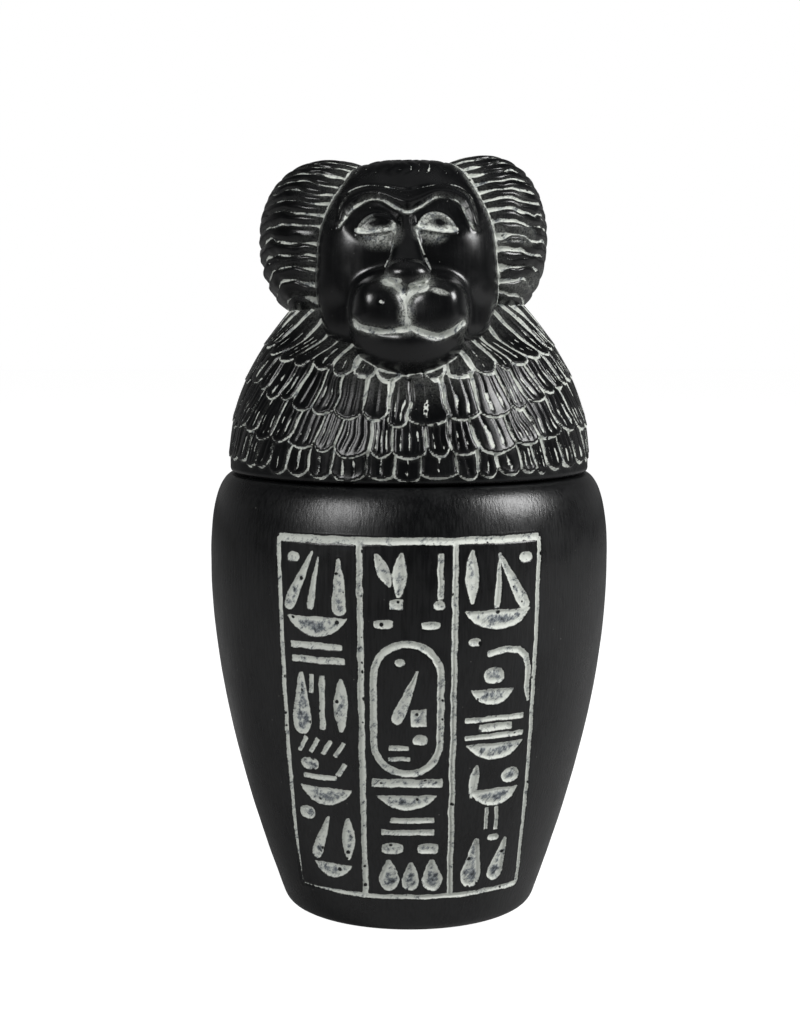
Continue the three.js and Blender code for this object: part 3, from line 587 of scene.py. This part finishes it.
MOUTH = flowing([
    (-8.7, 101.9), (-7.5, 101.1), (-5.9, 100.7), (-3.9, 100.5), (-2.2, 100.7), (-0.2, 101.0), (0.7, 101.0),
    (2.4, 100.4), (4.3, 99.8), (5.9, 100.2), (7.5, 101.0), (8.7, 101.9),
])  # fmt: skip
WHISKER_PIT = (-4.4, 105.2)
CHIP = (-4.0, 119.2)  # in the upper lid of the left eye, where the paint didn't take
# The paint smeared under each eye: its middle, half size and strength.
SMEARS = {-1: ((-4.7, 115.9), (3.7, 2.5), 0.9), 1: ((3.5, 116.3), (3.0, 2.0), 0.7)}
# How high or deep each feature is modelled, and how wide its line or half its oval is.
BROW_HIGH, BROW_WIDE = 0.95, 0.85
UPPER_CREASE_DEEP, LOWER_CREASE_DEEP, CREASE_WIDE = 0.32, 0.4, 0.35
SOCKET_DEEP, SOCKET_RISE, SOCKET_HALF = 0.95, 1.1, (4.4, 3.2)
LIDS_HIGH, LID_THICK = 0.55, 0.5
BALL_HIGH, BALL_RISE, BALL_HALF = 0.6, 0.1, (2.4, 1.4)
IRIS_DEEP = 0.12
NOSTRIL_DEEP, NOSTRIL_HALF = 0.22, (0.9, 0.6)
LIP_LINE_DEEP, LIP_LINE_WIDE = 0.3, 0.75
MOUTH_DEEP, MOUTH_WIDE = 0.5, 0.5
PIT_DEEP, PIT_HALF = 0.25, (0.4, 0.4)


def oval(x, z, middle, half):
    """1 on an oval's edge, less inside it and more outside."""
    return np.hypot((x - middle[0]) / half[0], (z - middle[1]) / half[1])


def eye_edges(x, z, eye):
    """How far a place lies below an eye's upper edge and above its lower edge; past says how far beside."""
    across = (x - eye[0]) / EYE_HALF
    dome = np.sqrt(np.clip(1 - across**2, 0, 1))
    corner = eye[1] - CORNER_FALL + 0.35 * np.clip(-across * eye[2], -1, 1)
    past = np.maximum(np.abs(across) - 1, 0) * EYE_HALF
    return corner + EYE_RISE * dome - z, z - corner + EYE_FALL * dome, past


def in_eye(x, z, eye):
    """How deep a place lies within an eye's outline, less than 0 outside it."""
    under, above, past = eye_edges(x, z, eye)
    return np.minimum(under, above) - past


def face_relief(x, z):
    """How far the carving of the face stands out of its masses, seen from the front."""
    relief = BROW_HIGH * ridge(from_line(x, z, BROW), BROW_WIDE)
    relief -= UPPER_CREASE_DEEP * ridge(from_line(x, z, UPPER_CREASE), CREASE_WIDE)
    relief -= LOWER_CREASE_DEEP * ridge(from_line(x, z, LOWER_CREASE), CREASE_WIDE)
    for eye in EYES:
        under, above, past = eye_edges(x, z, eye)
        within = in_eye(x, z, eye)
        socket = oval(x, z, (eye[0], eye[1] + SOCKET_RISE), SOCKET_HALF)
        relief -= SOCKET_DEEP * eased(1.45, 0.4, socket)
        relief += LIDS_HIGH * eased(-0.25, 0.15, within)
        within_lids = eased(LID_WIDE - 0.15, LID_WIDE + 0.15, under) * eased(0.3, 0.6, above)
        relief -= LID_THICK * within_lids * (past == 0)
        ball = oval(x, z, (eye[0], eye[1] + BALL_RISE), BALL_HALF)
        relief += BALL_HIGH * np.sqrt(np.maximum(1 - 0.8 * ball**2, 0)) * eased(1.15, 0.95, ball)
        iris = oval(x, z, (eye[0] + 0.2, eye[1] + 0.05), IRIS_HALF[eye[2]])
        relief -= IRIS_DEEP * eased(1.2, 0.6, iris)
    for nostril in NOSTRILS:
        relief -= NOSTRIL_DEEP * eased(1.2, 0.4, oval(x, z, nostril, NOSTRIL_HALF))
    for line in LIP_LINES:
        relief -= LIP_LINE_DEEP * ridge(from_line(x, z, line), LIP_LINE_WIDE)
    relief -= MOUTH_DEEP * ridge(from_line(x, z, MOUTH), MOUTH_WIDE)
    relief -= PIT_DEEP * ridge(oval(x, z, WHISKER_PIT, PIT_HALF), 1)
    return relief


FACE_LEFT, FACE_LOW, RELIEF_STEP = -16.0, 92.0, 0.1
relief_x, relief_z = np.meshgrid(
    FACE_LEFT + RELIEF_STEP * np.arange(321), FACE_LOW + RELIEF_STEP * np.arange(351)
)
carved_face = face_relief(relief_x, relief_z)


def relief_at(x, z):
    """The face's relief at a place, read between the places it was worked out at."""
    i = np.clip((z - FACE_LOW) / RELIEF_STEP, 0, carved_face.shape[0] - 1.001)
    j = np.clip((x - FACE_LEFT) / RELIEF_STEP, 0, carved_face.shape[1] - 1.001)
    row, column = i.astype(int), j.astype(int)
    i, j = i - row, j - column
    low = carved_face[row, column] * (1 - j) + carved_face[row, column + 1] * j
    high = carved_face[row + 1, column] * (1 - j) + carved_face[row + 1, column + 1] * j
    return low * (1 - i) + high * i


# The skin's rings go round the way from the middle of the head to the face, and stand close on it.
FACE_SPOKES = 352
spoke = np.linspace(0, 2 * math.pi, FACE_SPOKES, endpoint=False)[None, :]
turn = np.concatenate([np.linspace(0.004, 0.46, 215), np.linspace(0.465, 0.97, 26)])[:, None] * math.pi
aside = np.sin(turn)
ways = np.stack([aside * np.cos(spoke), -np.cos(turn) * np.ones_like(spoke), aside * np.sin(spoke)], -1)
near, far = np.zeros(ways.shape[:2]), np.full(ways.shape[:2], 40.0)
for halving in range(17):
    tried = (near + far) / 2
    places = HEAD_MIDDLE + ways * tried[..., None]
    facing = eased(-9.0, -13.0, places[..., 1])
    beyond = beyond_head(places) - relief_at(places[..., 0], places[..., 2]) * facing
    near, far = np.where(beyond < 0, tried, near), np.where(beyond < 0, far, tried)
head_rings = HEAD_MIDDLE + ways * near[..., None]
x, y, z = np.moveaxis(head_rings, -1, 0)
STRAND_PITCH, STRAND_DEPTH, STRAND_WIDE = 1.9, 0.18, 0.3
crown = eased(125.8, 127.2, z)
strand = x / STRAND_PITCH + 0.6 * uneven(head_rings, 3.0, 12)
from_strand = np.abs(strand - np.round(strand)) * STRAND_PITCH
hand_made = 0.06 * uneven(head_rings, 5.0, 13) + 0.03 * uneven(head_rings, 1.8, 14)
sunk = STRAND_DEPTH * crown * ridge(from_strand, STRAND_WIDE) + hand_made
head_rings = head_rings - ways * sunk[..., None]
facing = eased(-9.0, -12.0, y)

# The paint of the face: lines of paint with uneven edges, and thin films beside them. The films
# also hold a painted shadow under each upper lid and a painted highlight on the muzzle's right lobe.
jitter = uneven(head_rings, 1.2, 11)
broad = uneven(head_rings, 3.0, 15)
from_mane = np.minimum(*(beyond_mass(head_rings, mass) for mass in MANE_MASSES.values()))
lip_line = np.minimum.reduce([from_line(x, z, line) for line in LIP_LINES])
mouth_line = from_line(x, z, MOUTH)
painted = [lip_line - 0.45 - 0.35 * jitter - 0.2 * broad, mouth_line - 0.48 - 0.15 * jitter - 0.15 * broad]
for line, half, shaken in ((BRIDGE_SIDES[0], 0.04, 0.1), (BRIDGE_SIDES[1], 0.14, 0.1),
                           (LOWER_CREASE, 0.22, 0.12), (UPPER_CREASE, 0.01, 0.16)):  # fmt: skip
    painted += [from_line(x, z, line) - half - shaken * jitter]
left_smudge = oval(x, z, (-3.0, 108.4), (1.5, 0.7)) - 1 - 0.35 * jitter
right_smudge = oval(x, z, (1.7, 107.6), (1.5, 0.9)) - 1 - 0.35 * jitter
# On the muzzle's right lobe a pale patch goes into the film: partly paint, partly painted highlight of the
# lobe.
lobe_paint_and_highlight = oval(x, z - 0.25 * (4.8 - x), (4.8, 106.8), (1.7, 0.5)) - 1 - 0.4 * jitter
painted += [0.6 * left_smudge, 0.6 * right_smudge]
painted += [0.35 * (oval(x, z, WHISKER_PIT, (0.3, 0.3)) - 0.9)]
film = 0.75 * eased(0.3, -0.5, lobe_paint_and_highlight)
for eye in EYES:
    under, above, past = eye_edges(x, z, eye)
    within = in_eye(x, z, eye)
    # Below each upper lid a dark line is taken out of the film: painted shadow of the lid's edge.
    painted_lid_shadow = ridge(under - LID_WIDE, 0.2) * (above > 0.5) * (past == 0)
    spot_x, spot_z = x + 0.4 * jitter, z + 0.3 * broad
    iris = eased(1.6, 0.45, oval(spot_x, spot_z, (eye[0] + 0.1, eye[1] + 0.2), IRIS_HALF[eye[2]]))
    chipped = eased(1.4, 0.5, oval(spot_x, spot_z, CHIP, (1.9, 1.1))) if eye[2] < 0 else 0
    shown = 0.72 + 0.14 * eye[2] + 0.25 * jitter - 0.3 * painted_lid_shadow - 0.72 * iris - 0.9 * chipped
    shown = eased(0.0, 0.3, within) * np.clip(shown, 0, 1)
    film = np.maximum(film, shown)
    painted += [np.maximum(np.maximum(0.1 - above, above - 0.8 - 0.2 * jitter), past - 0.1)]
    for out, up, half in ((2.6, -0.9, (0.9, 0.5)), (-2.9, -0.4, (0.5, 0.8))):  # its two corners
        painted += [0.4 * (oval(x, z, (eye[0] + out * eye[2], eye[1] + up), half) - 1)]
    smear_middle, smear_half, strength = SMEARS[eye[2]]
    fading = np.clip(1.15 - oval(x, z, smear_middle, smear_half), 0, 1) ** 1.4
    film = np.maximum(film, (strength + 0.4 * jitter) * fading * (within < 0))
film = np.maximum(film, (0.85 + 0.15 * broad) * ridge(lip_line, 0.85))
film = np.maximum(film, 0.5 * ridge(mouth_line, 0.65))
for strength, middle, half in ((0.9, (1.9, 107.7), (1.4, 0.9)), (0.8, (-2.5, 108.1), (1.3, 0.8))):
    film = np.maximum(film, strength * eased(1.3, 0.5, oval(x, z, middle, half)))
film = np.maximum(film, 0.2 * eased(0.5, 0.1, from_line(x, z, LOWER_CREASE) - 0.15 * broad))
bare_border = 0.7 * eased(119.5, 116.0, z) * (x < 0)
painted = [np.where(facing > 0.5, np.minimum.reduce(painted), FAR_OFF)]
painted += [from_mane - 0.1 - 0.3 * broad - 0.15 * jitter + bare_border]
painted += [np.where(crown > 0.5, from_strand - 0.2 * broad, FAR_OFF)]
head_layers = {
    "wipe": np.minimum.reduce(painted),
    "rubbed": 0.25,
    "film": np.clip(film * facing + 0.25 * eased(1.0, 0.1, from_mane), 0, 1),
}
head = cast("baboon_head", head_rings, head_rings[0].mean(0), head_rings[-1].mean(0), head_layers)
smooth_resin = painted_resin("smooth_black_resin", 0.25, 0.45)
head.data.materials.append(smooth_resin)
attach(head, "root")
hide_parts("baboon_head_lid")

# The mane: two round lobes of combed hair at the sides of the face, cast in one with the head.
# The locks are cut as wavy grooves that rise outwards, with the paint left in them.
LOCK_PITCH = 1.95
LOCK_DEPTH, LOCK_WIDE = 0.5, 0.36
PART_DEPTH, PART_WIDE = 0.2, 0.22
LOCK_RISE = 0.25
LOCK_FALL = 0.25
MANE_SLICES = 176
MANE_SIDES = 236
combed_resin = painted_resin("combed_black_resin", 0.25, 0.34)


def mane_lobe(name, mass, seed):
    """Slices along the way that the locks are stacked, drawn in at each groove."""
    middle, half, full = (np.array(value, float) for value in mass)
    out = np.sign(middle[0])
    up = np.array([-LOCK_RISE * out, LOCK_FALL, 1.0])
    up /= np.linalg.norm(up)
    side = np.array([1.0, 0.0, LOCK_RISE * out])
    side /= np.linalg.norm(side)
    back = np.cross(up, side)

    def reach(start, way):
        near, far = np.zeros(way.shape[:-1]), np.full(way.shape[:-1], 40.0)
        for halving in range(22):
            tried = (near + far) / 2
            size = (np.abs((start + way * tried[..., None]) / half) ** full).sum(-1)
            near, far = np.where(size < 1, tried, near), np.where(size < 1, far, tried)
        return near

    top = reach(np.zeros((1, 3)), up[None])[0]
    level = -np.cos(np.linspace(0, math.pi, MANE_SLICES + 2)[1:-1])
    level = 0.35 * level + 0.65 * np.linspace(-1, 1, MANE_SLICES + 2)[1:-1]
    start = (level * top)[:, None, None] * up
    angle = np.linspace(0, 2 * math.pi, MANE_SIDES, endpoint=False)[None, :, None]
    way = np.cos(angle) * side + np.sin(angle) * back
    way = np.broadcast_to(way, (MANE_SLICES, MANE_SIDES, 3))
    length = reach(start, way)
    places = middle + start + way * length[..., None]
    offset = places - middle
    along = (offset @ up) + 0.16 * eased(0, -12, offset @ up) * (offset[..., 0] * out)
    wavy = 0.32 * uneven(places, 5.0, seed) + 0.17 * uneven(places, 1.9, seed + 1)
    lock = along / LOCK_PITCH + wavy
    groove = np.abs(lock - np.round(lock)) * LOCK_PITCH
    part = np.abs(2 * lock - np.round(2 * lock)) * LOCK_PITCH / 2
    parted = eased(0.25, 0.6, uneven(places, 3.2, seed + 2))
    end = eased(0.5, 3.0, length)
    inward = LOCK_DEPTH * ridge(groove, LOCK_WIDE) + PART_DEPTH * parted * ridge(part, PART_WIDE)
    lump = 0.12 * uneven(places, 2.4, seed + 3) + 0.2 * np.cos(2 * math.pi * lock)
    rings = middle + start + way * np.maximum(length - (inward + 0.5 * lump) * end, 0.05)[..., None]
    from_head = beyond_head(places)
    behind = eased(-2, 8, places[..., 1])
    chance = uneven(places, 2.6, seed + 4)
    width = 0.1 + 0.03 * out + 0.2 * chance + 0.2 * eased(3.0, 0.5, from_head) - 0.08 * behind
    thin = -0.02 + 0.12 * uneven(places, 1.8, seed + 5)
    # On the right lobe pale patches are added to the film: painted highlight, the sheen of the right soft box
    # on the locks.
    painted_sheen_patch = 0.16 * (out > 0) * eased(0.0, 0.5, uneven(places, 4.0, seed + 6)) * (1 - behind)
    bare_border = 0.7 * eased(119.5, 116.0, places[..., 2]) * (out < 0)
    wipe = np.minimum(groove - width, np.where(parted > 0.4, part - thin, FAR_OFF))
    layers = {
        "wipe": np.minimum(wipe, from_head - 0.1 - 0.3 * chance + bare_border),
        "rubbed": 0.15 + 0.45 * behind,
        "film": 0.04 * eased(0.7, 0.1, groove) + 0.06 * eased(3, 0.5, from_head) + painted_sheen_patch,
    }
    lobe = cast(name, rings, middle - up * top, middle + up * top, layers)
    lobe.data.materials.append(combed_resin)
    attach(lobe, "root")
    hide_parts("baboon_head_lid")


mane_lobe("mane_left", MANE_MASSES["left"], 21)
mane_lobe("mane_right", MANE_MASSES["right"], 31)

# The cape: the lid's round skirt with four rows of carved feathers, each over the one below,
# and a plain plug under it that keeps it on the jar. It is cast in one with the head.
LID_BOTTOM = 76.1
PLUG_RADIUS = 22.9
PLUG_DEPTH = 4.5
CAPE_RADIUS = 31.1
CAPE_WIDEST = 79.0
CAPE_FALL = 0.017
CAPE_TOP = 112.5
FEATHER_ROWS = [  # from the bottom: edge at the front, its rise at the sides, width, lean, scallop
    dict(front=76.9, rise=2.0, wide=4.2, lean=0.45, scallop=1.2, lines=3),
    dict(front=80.5, rise=4.2, wide=5.2, lean=0.75, scallop=1.6, lines=4),
    dict(front=86.0, rise=6.4, wide=4.7, lean=0.65, scallop=1.1, lines=2),
    dict(front=92.7, rise=5.4, wide=4.8, lean=0.80, scallop=1.3, lines=3),
]
TIP_LIFT = 0.45
SIDE_DEPTH, SIDE_WIDE = 0.4, 0.3
BARB_DEPTH, BARB_WIDE = 0.17, 0.2
DRAWN_IN = 3.6  # how far the cape is drawn in round the neck, under the face
FRONT_HALF = math.radians(104)


def cape_radius(height):
    """The cape's outside radius at a height, without its feathers."""
    return CAPE_RADIUS - CAPE_FALL * np.maximum(height - CAPE_WIDEST, 0) ** 2


dense = np.linspace(LID_BOTTOM + 0.7, CAPE_TOP, 4001)
walked = np.concatenate([[0], np.cumsum(np.hypot(np.diff(dense), np.diff(cape_radius(dense))))])
cape_up = np.interp(np.arange(0, walked[-1], 0.265), walked, dense)
plug = [(12.0, LID_BOTTOM - PLUG_DEPTH), (22.0, LID_BOTTOM - PLUG_DEPTH), (22.6, 71.7), (PLUG_RADIUS, 72.2),
        (PLUG_RADIUS, 74.0), (PLUG_RADIUS, 76.0), (23.0, LID_BOTTOM), (27.0, LID_BOTTOM), (30.2, LID_BOTTOM),
        (30.6, 76.16), (30.85, 76.3), (31.0, 76.5)]  # fmt: skip
cape_outline = np.array(plug + list(zip(cape_radius(cape_up), cape_up)))
columns = np.concatenate(
    [np.linspace(-FRONT_HALF, FRONT_HALF, 440), np.linspace(FRONT_HALF, 2 * math.pi - FRONT_HALF, 100)[1:-1]]
)
columns = (columns + math.pi) % (2 * math.pi) - math.pi
theta = np.broadcast_to(columns[None, :], (len(cape_outline), columns.size))
height = np.broadcast_to(cape_outline[:, 1:2], theta.shape)
radius = np.broadcast_to(cape_outline[:, :1], theta.shape)
cape_places = np.stack([radius * np.sin(theta), -radius * np.cos(theta), height], -1)
swell = np.zeros(theta.shape)
side_line = np.full(theta.shape, FAR_OFF)
edge_line = np.full(theta.shape, FAR_OFF)
barb = np.zeros(theta.shape)
barb_half = np.full(theta.shape, -0.3)
from_manes = (beyond_mass(cape_places, mass) for mass in MANE_MASSES.values())
from_head = np.minimum(beyond_head(cape_places), np.minimum(*from_manes))
close = eased(7.0, 0.5, from_head)
back_side = eased(math.radians(80), math.radians(120), np.abs(theta))
roughly = uneven(cape_places, 2.0, 41)
more_paint = 0.08 * np.sin(theta)  # it was wiped from the left, and more of it stayed on the right
dice = np.random.default_rng(7)
for row in FEATHER_ROWS:
    # Round the cape the row is cut into feathers of uneven width.
    cuts = [-math.pi]
    while cuts[-1] < math.pi - 0.08:
        wider = 1 + 0.7 * float(eased(math.radians(95), math.radians(125), abs(cuts[-1])))
        cuts.append(cuts[-1] + row["wide"] / CAPE_RADIUS * wider * dice.uniform(0.68, 1.32))
    cuts = np.array(cuts) / cuts[-1] * math.pi
    cuts[0], cuts[-1] = -math.pi, math.pi
    # Above its scalloped edge a feather stands out most at the tip, with grooves beside and on it.
    edge = row["front"] + row["rise"] * np.where(np.abs(theta) < math.pi / 2, np.sin(theta) ** 2, 1)
    leaning = row["lean"] * np.sin(theta) * np.cos(theta / 2) * (height - edge) / CAPE_RADIUS
    wobble = 0.018 * uneven(cape_places, 3.0, 43)
    place = np.clip(theta + leaning + wobble, -math.pi, math.pi - 1e-6)
    feather = np.clip(np.searchsorted(cuts, place, side="right") - 1, 0, len(cuts) - 2)
    wide = (cuts[1:] - cuts[:-1])[feather]
    share = (place - cuts[feather]) / wide
    drops = dice.uniform(-0.5, 0.5, len(cuts))[feather]
    deep = dice.uniform(0.5, 1.5, len(cuts))[feather]
    lines = dice.integers(row["lines"] - 1, row["lines"] + 1, len(cuts)) + (row["lines"] == 2)
    counted = np.concatenate([[0], np.cumsum(lines)])
    edge = edge + drops + row["scallop"] * deep * np.abs(2 * share - 1) ** 2.3
    above = height - edge
    here = above >= 0
    from_side = np.minimum(share, 1 - share) * wide * radius
    count = counted[feather] + share * lines[feather]
    from_barb = np.abs(count - np.round(count)) * wide * radius / lines[feather]
    started = eased(0.3, 1.2, above)
    shape = 0.1 + TIP_LIFT * np.exp(-above / 1.8) + 0.1 * (1 - (2 * share - 1) ** 2)
    shape = shape - SIDE_DEPTH * ridge(from_side, SIDE_WIDE)
    shape = shape - BARB_DEPTH * ridge(from_barb, BARB_WIDE) * started
    swell = np.where(here, shape, swell)
    # The paint lies in the grooves and under the edge of the row above.
    side_half = 0.2 + 0.16 * roughly + 0.36 * close - 0.14 * back_side + more_paint
    side_line = np.where(here, from_side - side_half, side_line)
    below = -above
    under_edge = below - (0.34 + 0.2 * roughly + 0.3 * close - 0.16 * back_side + more_paint)
    edge_line = np.where(here, np.maximum(above - 0.02, 0) + 0.05, np.minimum(edge_line, under_edge))
    barb = np.where(here, count, barb)
    bold = dice.uniform(-0.1, 0.08, len(cuts))[feather] + 0.05 * roughly + 0.7 * more_paint
    kept = eased(0.4, 1.1, above) * eased(4.6 + 0.8 * roughly, 3.4 + 0.8 * roughly, above)
    barb_half = np.where(here, bold - 0.35 * (1 - kept), barb_half)
beside = ridge(np.abs(theta) - math.radians(86), 0.3)
swell = swell * eased(76.2, 76.9, height) * eased(110.5, 107.0, height) * (1 - 0.55 * beside)
drawn_in = DRAWN_IN * eased(95.5, 99.5, height) * eased(math.radians(75), math.radians(40), np.abs(theta))
cape_out = radius - drawn_in + swell + 0.05 * uneven(cape_places, 4.0, 45)
cape_out = np.where(height < 76.4, radius, cape_out)
cape_rings = np.stack([cape_out * np.sin(theta), -cape_out * np.cos(theta), height], -1)
feathered = np.where(height > 76.5, 0, FAR_OFF)
# Right under the chin a patch was left plain.
PLAIN_MIDDLE, PLAIN_HALF = (1.3, 91.6), (2.7, 2.3)
plain = eased(1.15, 0.75, oval(cape_rings[..., 0], height, PLAIN_MIDDLE, PLAIN_HALF)) * (np.abs(theta) < 1)
painted = np.minimum.reduce([side_line, edge_line, from_head - 0.15 - 0.35 * roughly])
cape_layers = {
    "wipe": painted + feathered + 0.8 * plain,
    "rubbed": 0.1 + 0.5 * back_side,
    "film": (0.03 * eased(0.6, 0.0, np.minimum(side_line, edge_line)) + 0.08 * close) * (feathered == 0),
    "barb": np.where((height > 76.5) & (swell > 0.02), barb, 0.5),
    "barb_half": barb_half - 0.4 * plain,
}
cape_bottom = (0, 0, LID_BOTTOM - PLUG_DEPTH)
cape = cast("feathered_cape", cape_rings, cape_bottom, (0, 0, CAPE_TOP), cape_layers)
cape.data.materials.append(painted_resin("feathered_black_resin", 0.2, 0.3, shallow_lines=True))
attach(cape, "root")
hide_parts("baboon_head_lid")

# The place it was photographed in: a white sheet, two soft boxes and the camera at arm's length.
floor_mesh = bpy.data.meshes.new("white_sheet")
floor_mesh.from_pydata([(-3, -3, 0), (3, -3, 0), (3, 3, 0), (-3, 3, 0)], [], [(0, 1, 2, 3)])
floor = bpy.data.objects.new("white_sheet", floor_mesh)
bpy.context.scene.collection.objects.link(floor)
sheet = bpy.data.materials.new("white_sheet")
sheet.use_nodes = True
shader = sheet.node_tree.nodes["Principled BSDF"]
shader.inputs["Roughness"].default_value = 0.9
shader.inputs["Emission Color"].default_value = (1, 1, 1, 1)
# For all but camera rays the sheet's colour is painted shade: dark grey towards the camera and paler near the
# jar, in place of the soft boxes' light falling off across it.
where = add(sheet.node_tree, "ShaderNodeTexCoord").outputs["Object"]
nearer = add(sheet.node_tree, "ShaderNodeSeparateXYZ", {"Vector": where}).outputs["Y"]
lit = ranged(sheet.node_tree, nearer, -0.32, -0.08)
painted_falloff_colour = tinted(sheet.node_tree, lit, (0.08, 0.08, 0.08, 1), (0.42, 0.42, 0.42, 1))
sheet.node_tree.links.new(painted_falloff_colour, shader.inputs["Base Color"])
seen = add(sheet.node_tree, "ShaderNodeLightPath").outputs["Is Camera Ray"]
sheet.node_tree.links.new(reckon(sheet.node_tree, "MULTIPLY", seen, 0.96), shader.inputs["Emission Strength"])
floor_mesh.materials.append(sheet)

world = bpy.data.worlds.new("white_studio")
world.use_nodes = True
bpy.context.scene.world = world
tree = world.node_tree
tree.nodes["Background"].inputs["Color"].default_value = (1, 1, 1, 1)
seen = add(tree, "ShaderNodeLightPath").outputs["Is Camera Ray"]
way = add(tree, "ShaderNodeTexCoord").outputs["Generated"]
way = add(tree, "ShaderNodeSeparateXYZ", {"Vector": way}).outputs
low_down = ranged(tree, way["Z"], 0.35, 0.0, 0.02, 0.08)
below = ranged(tree, way["Z"], 0.7, 0.1, 0.0, 0.12)
behind = reckon(tree, "MULTIPLY", ranged(tree, way["Y"], 0.0, 0.8), below)
overhead = ranged(tree, way["Z"], 0.80, 0.97, 0.0, 0.15)
room = reckon(tree, "ADD", reckon(tree, "ADD", low_down, behind), overhead)
tree.links.new(reckon(tree, "MAXIMUM", room, seen), tree.nodes["Background"].inputs["Strength"])


BOX_DISTANCE, SHOULDER_UP = 0.8, 0.075


def soft_box(name, azimuth, elevation, wide, high, power):
    """A soft box turned to the jar's shoulder; the azimuth is from the front towards the right."""
    light = bpy.data.lights.new(name, "AREA")
    light.shape = "RECTANGLE"
    light.size, light.size_y, light.energy = wide, high, power
    lamp = bpy.data.objects.new(name, light)
    bpy.context.scene.collection.objects.link(lamp)
    a, e = math.radians(azimuth), math.radians(elevation)
    way = (math.sin(a) * math.cos(e), -math.cos(a) * math.cos(e), math.sin(e))
    lamp.location = [BOX_DISTANCE * step + start for step, start in zip(way, (0, 0, SHOULDER_UP))]
    lamp.rotation_euler = (math.radians(90) - e, 0, a)


soft_box("left_box", -42, 26, 0.25, 0.27, 3.6)
soft_box("right_box", 70, 30, 0.27, 0.33, 6.6)

FOCAL_PIXELS = 1891
camera_data = bpy.data.cameras.new("camera")
camera_data.sensor_width = 36
camera_data.lens = 36 * FOCAL_PIXELS / 1013
camera_data.clip_start = 0.01
camera = bpy.data.objects.new("camera", camera_data)
bpy.context.scene.collection.objects.link(camera)
camera.location = (0, -0.330, 0.104)
camera.rotation_euler = (math.radians(90 - 5.95), 0, math.atan(9 / FOCAL_PIXELS))
bpy.context.scene.camera = camera
bpy.context.scene.view_settings.view_transform = "Standard"
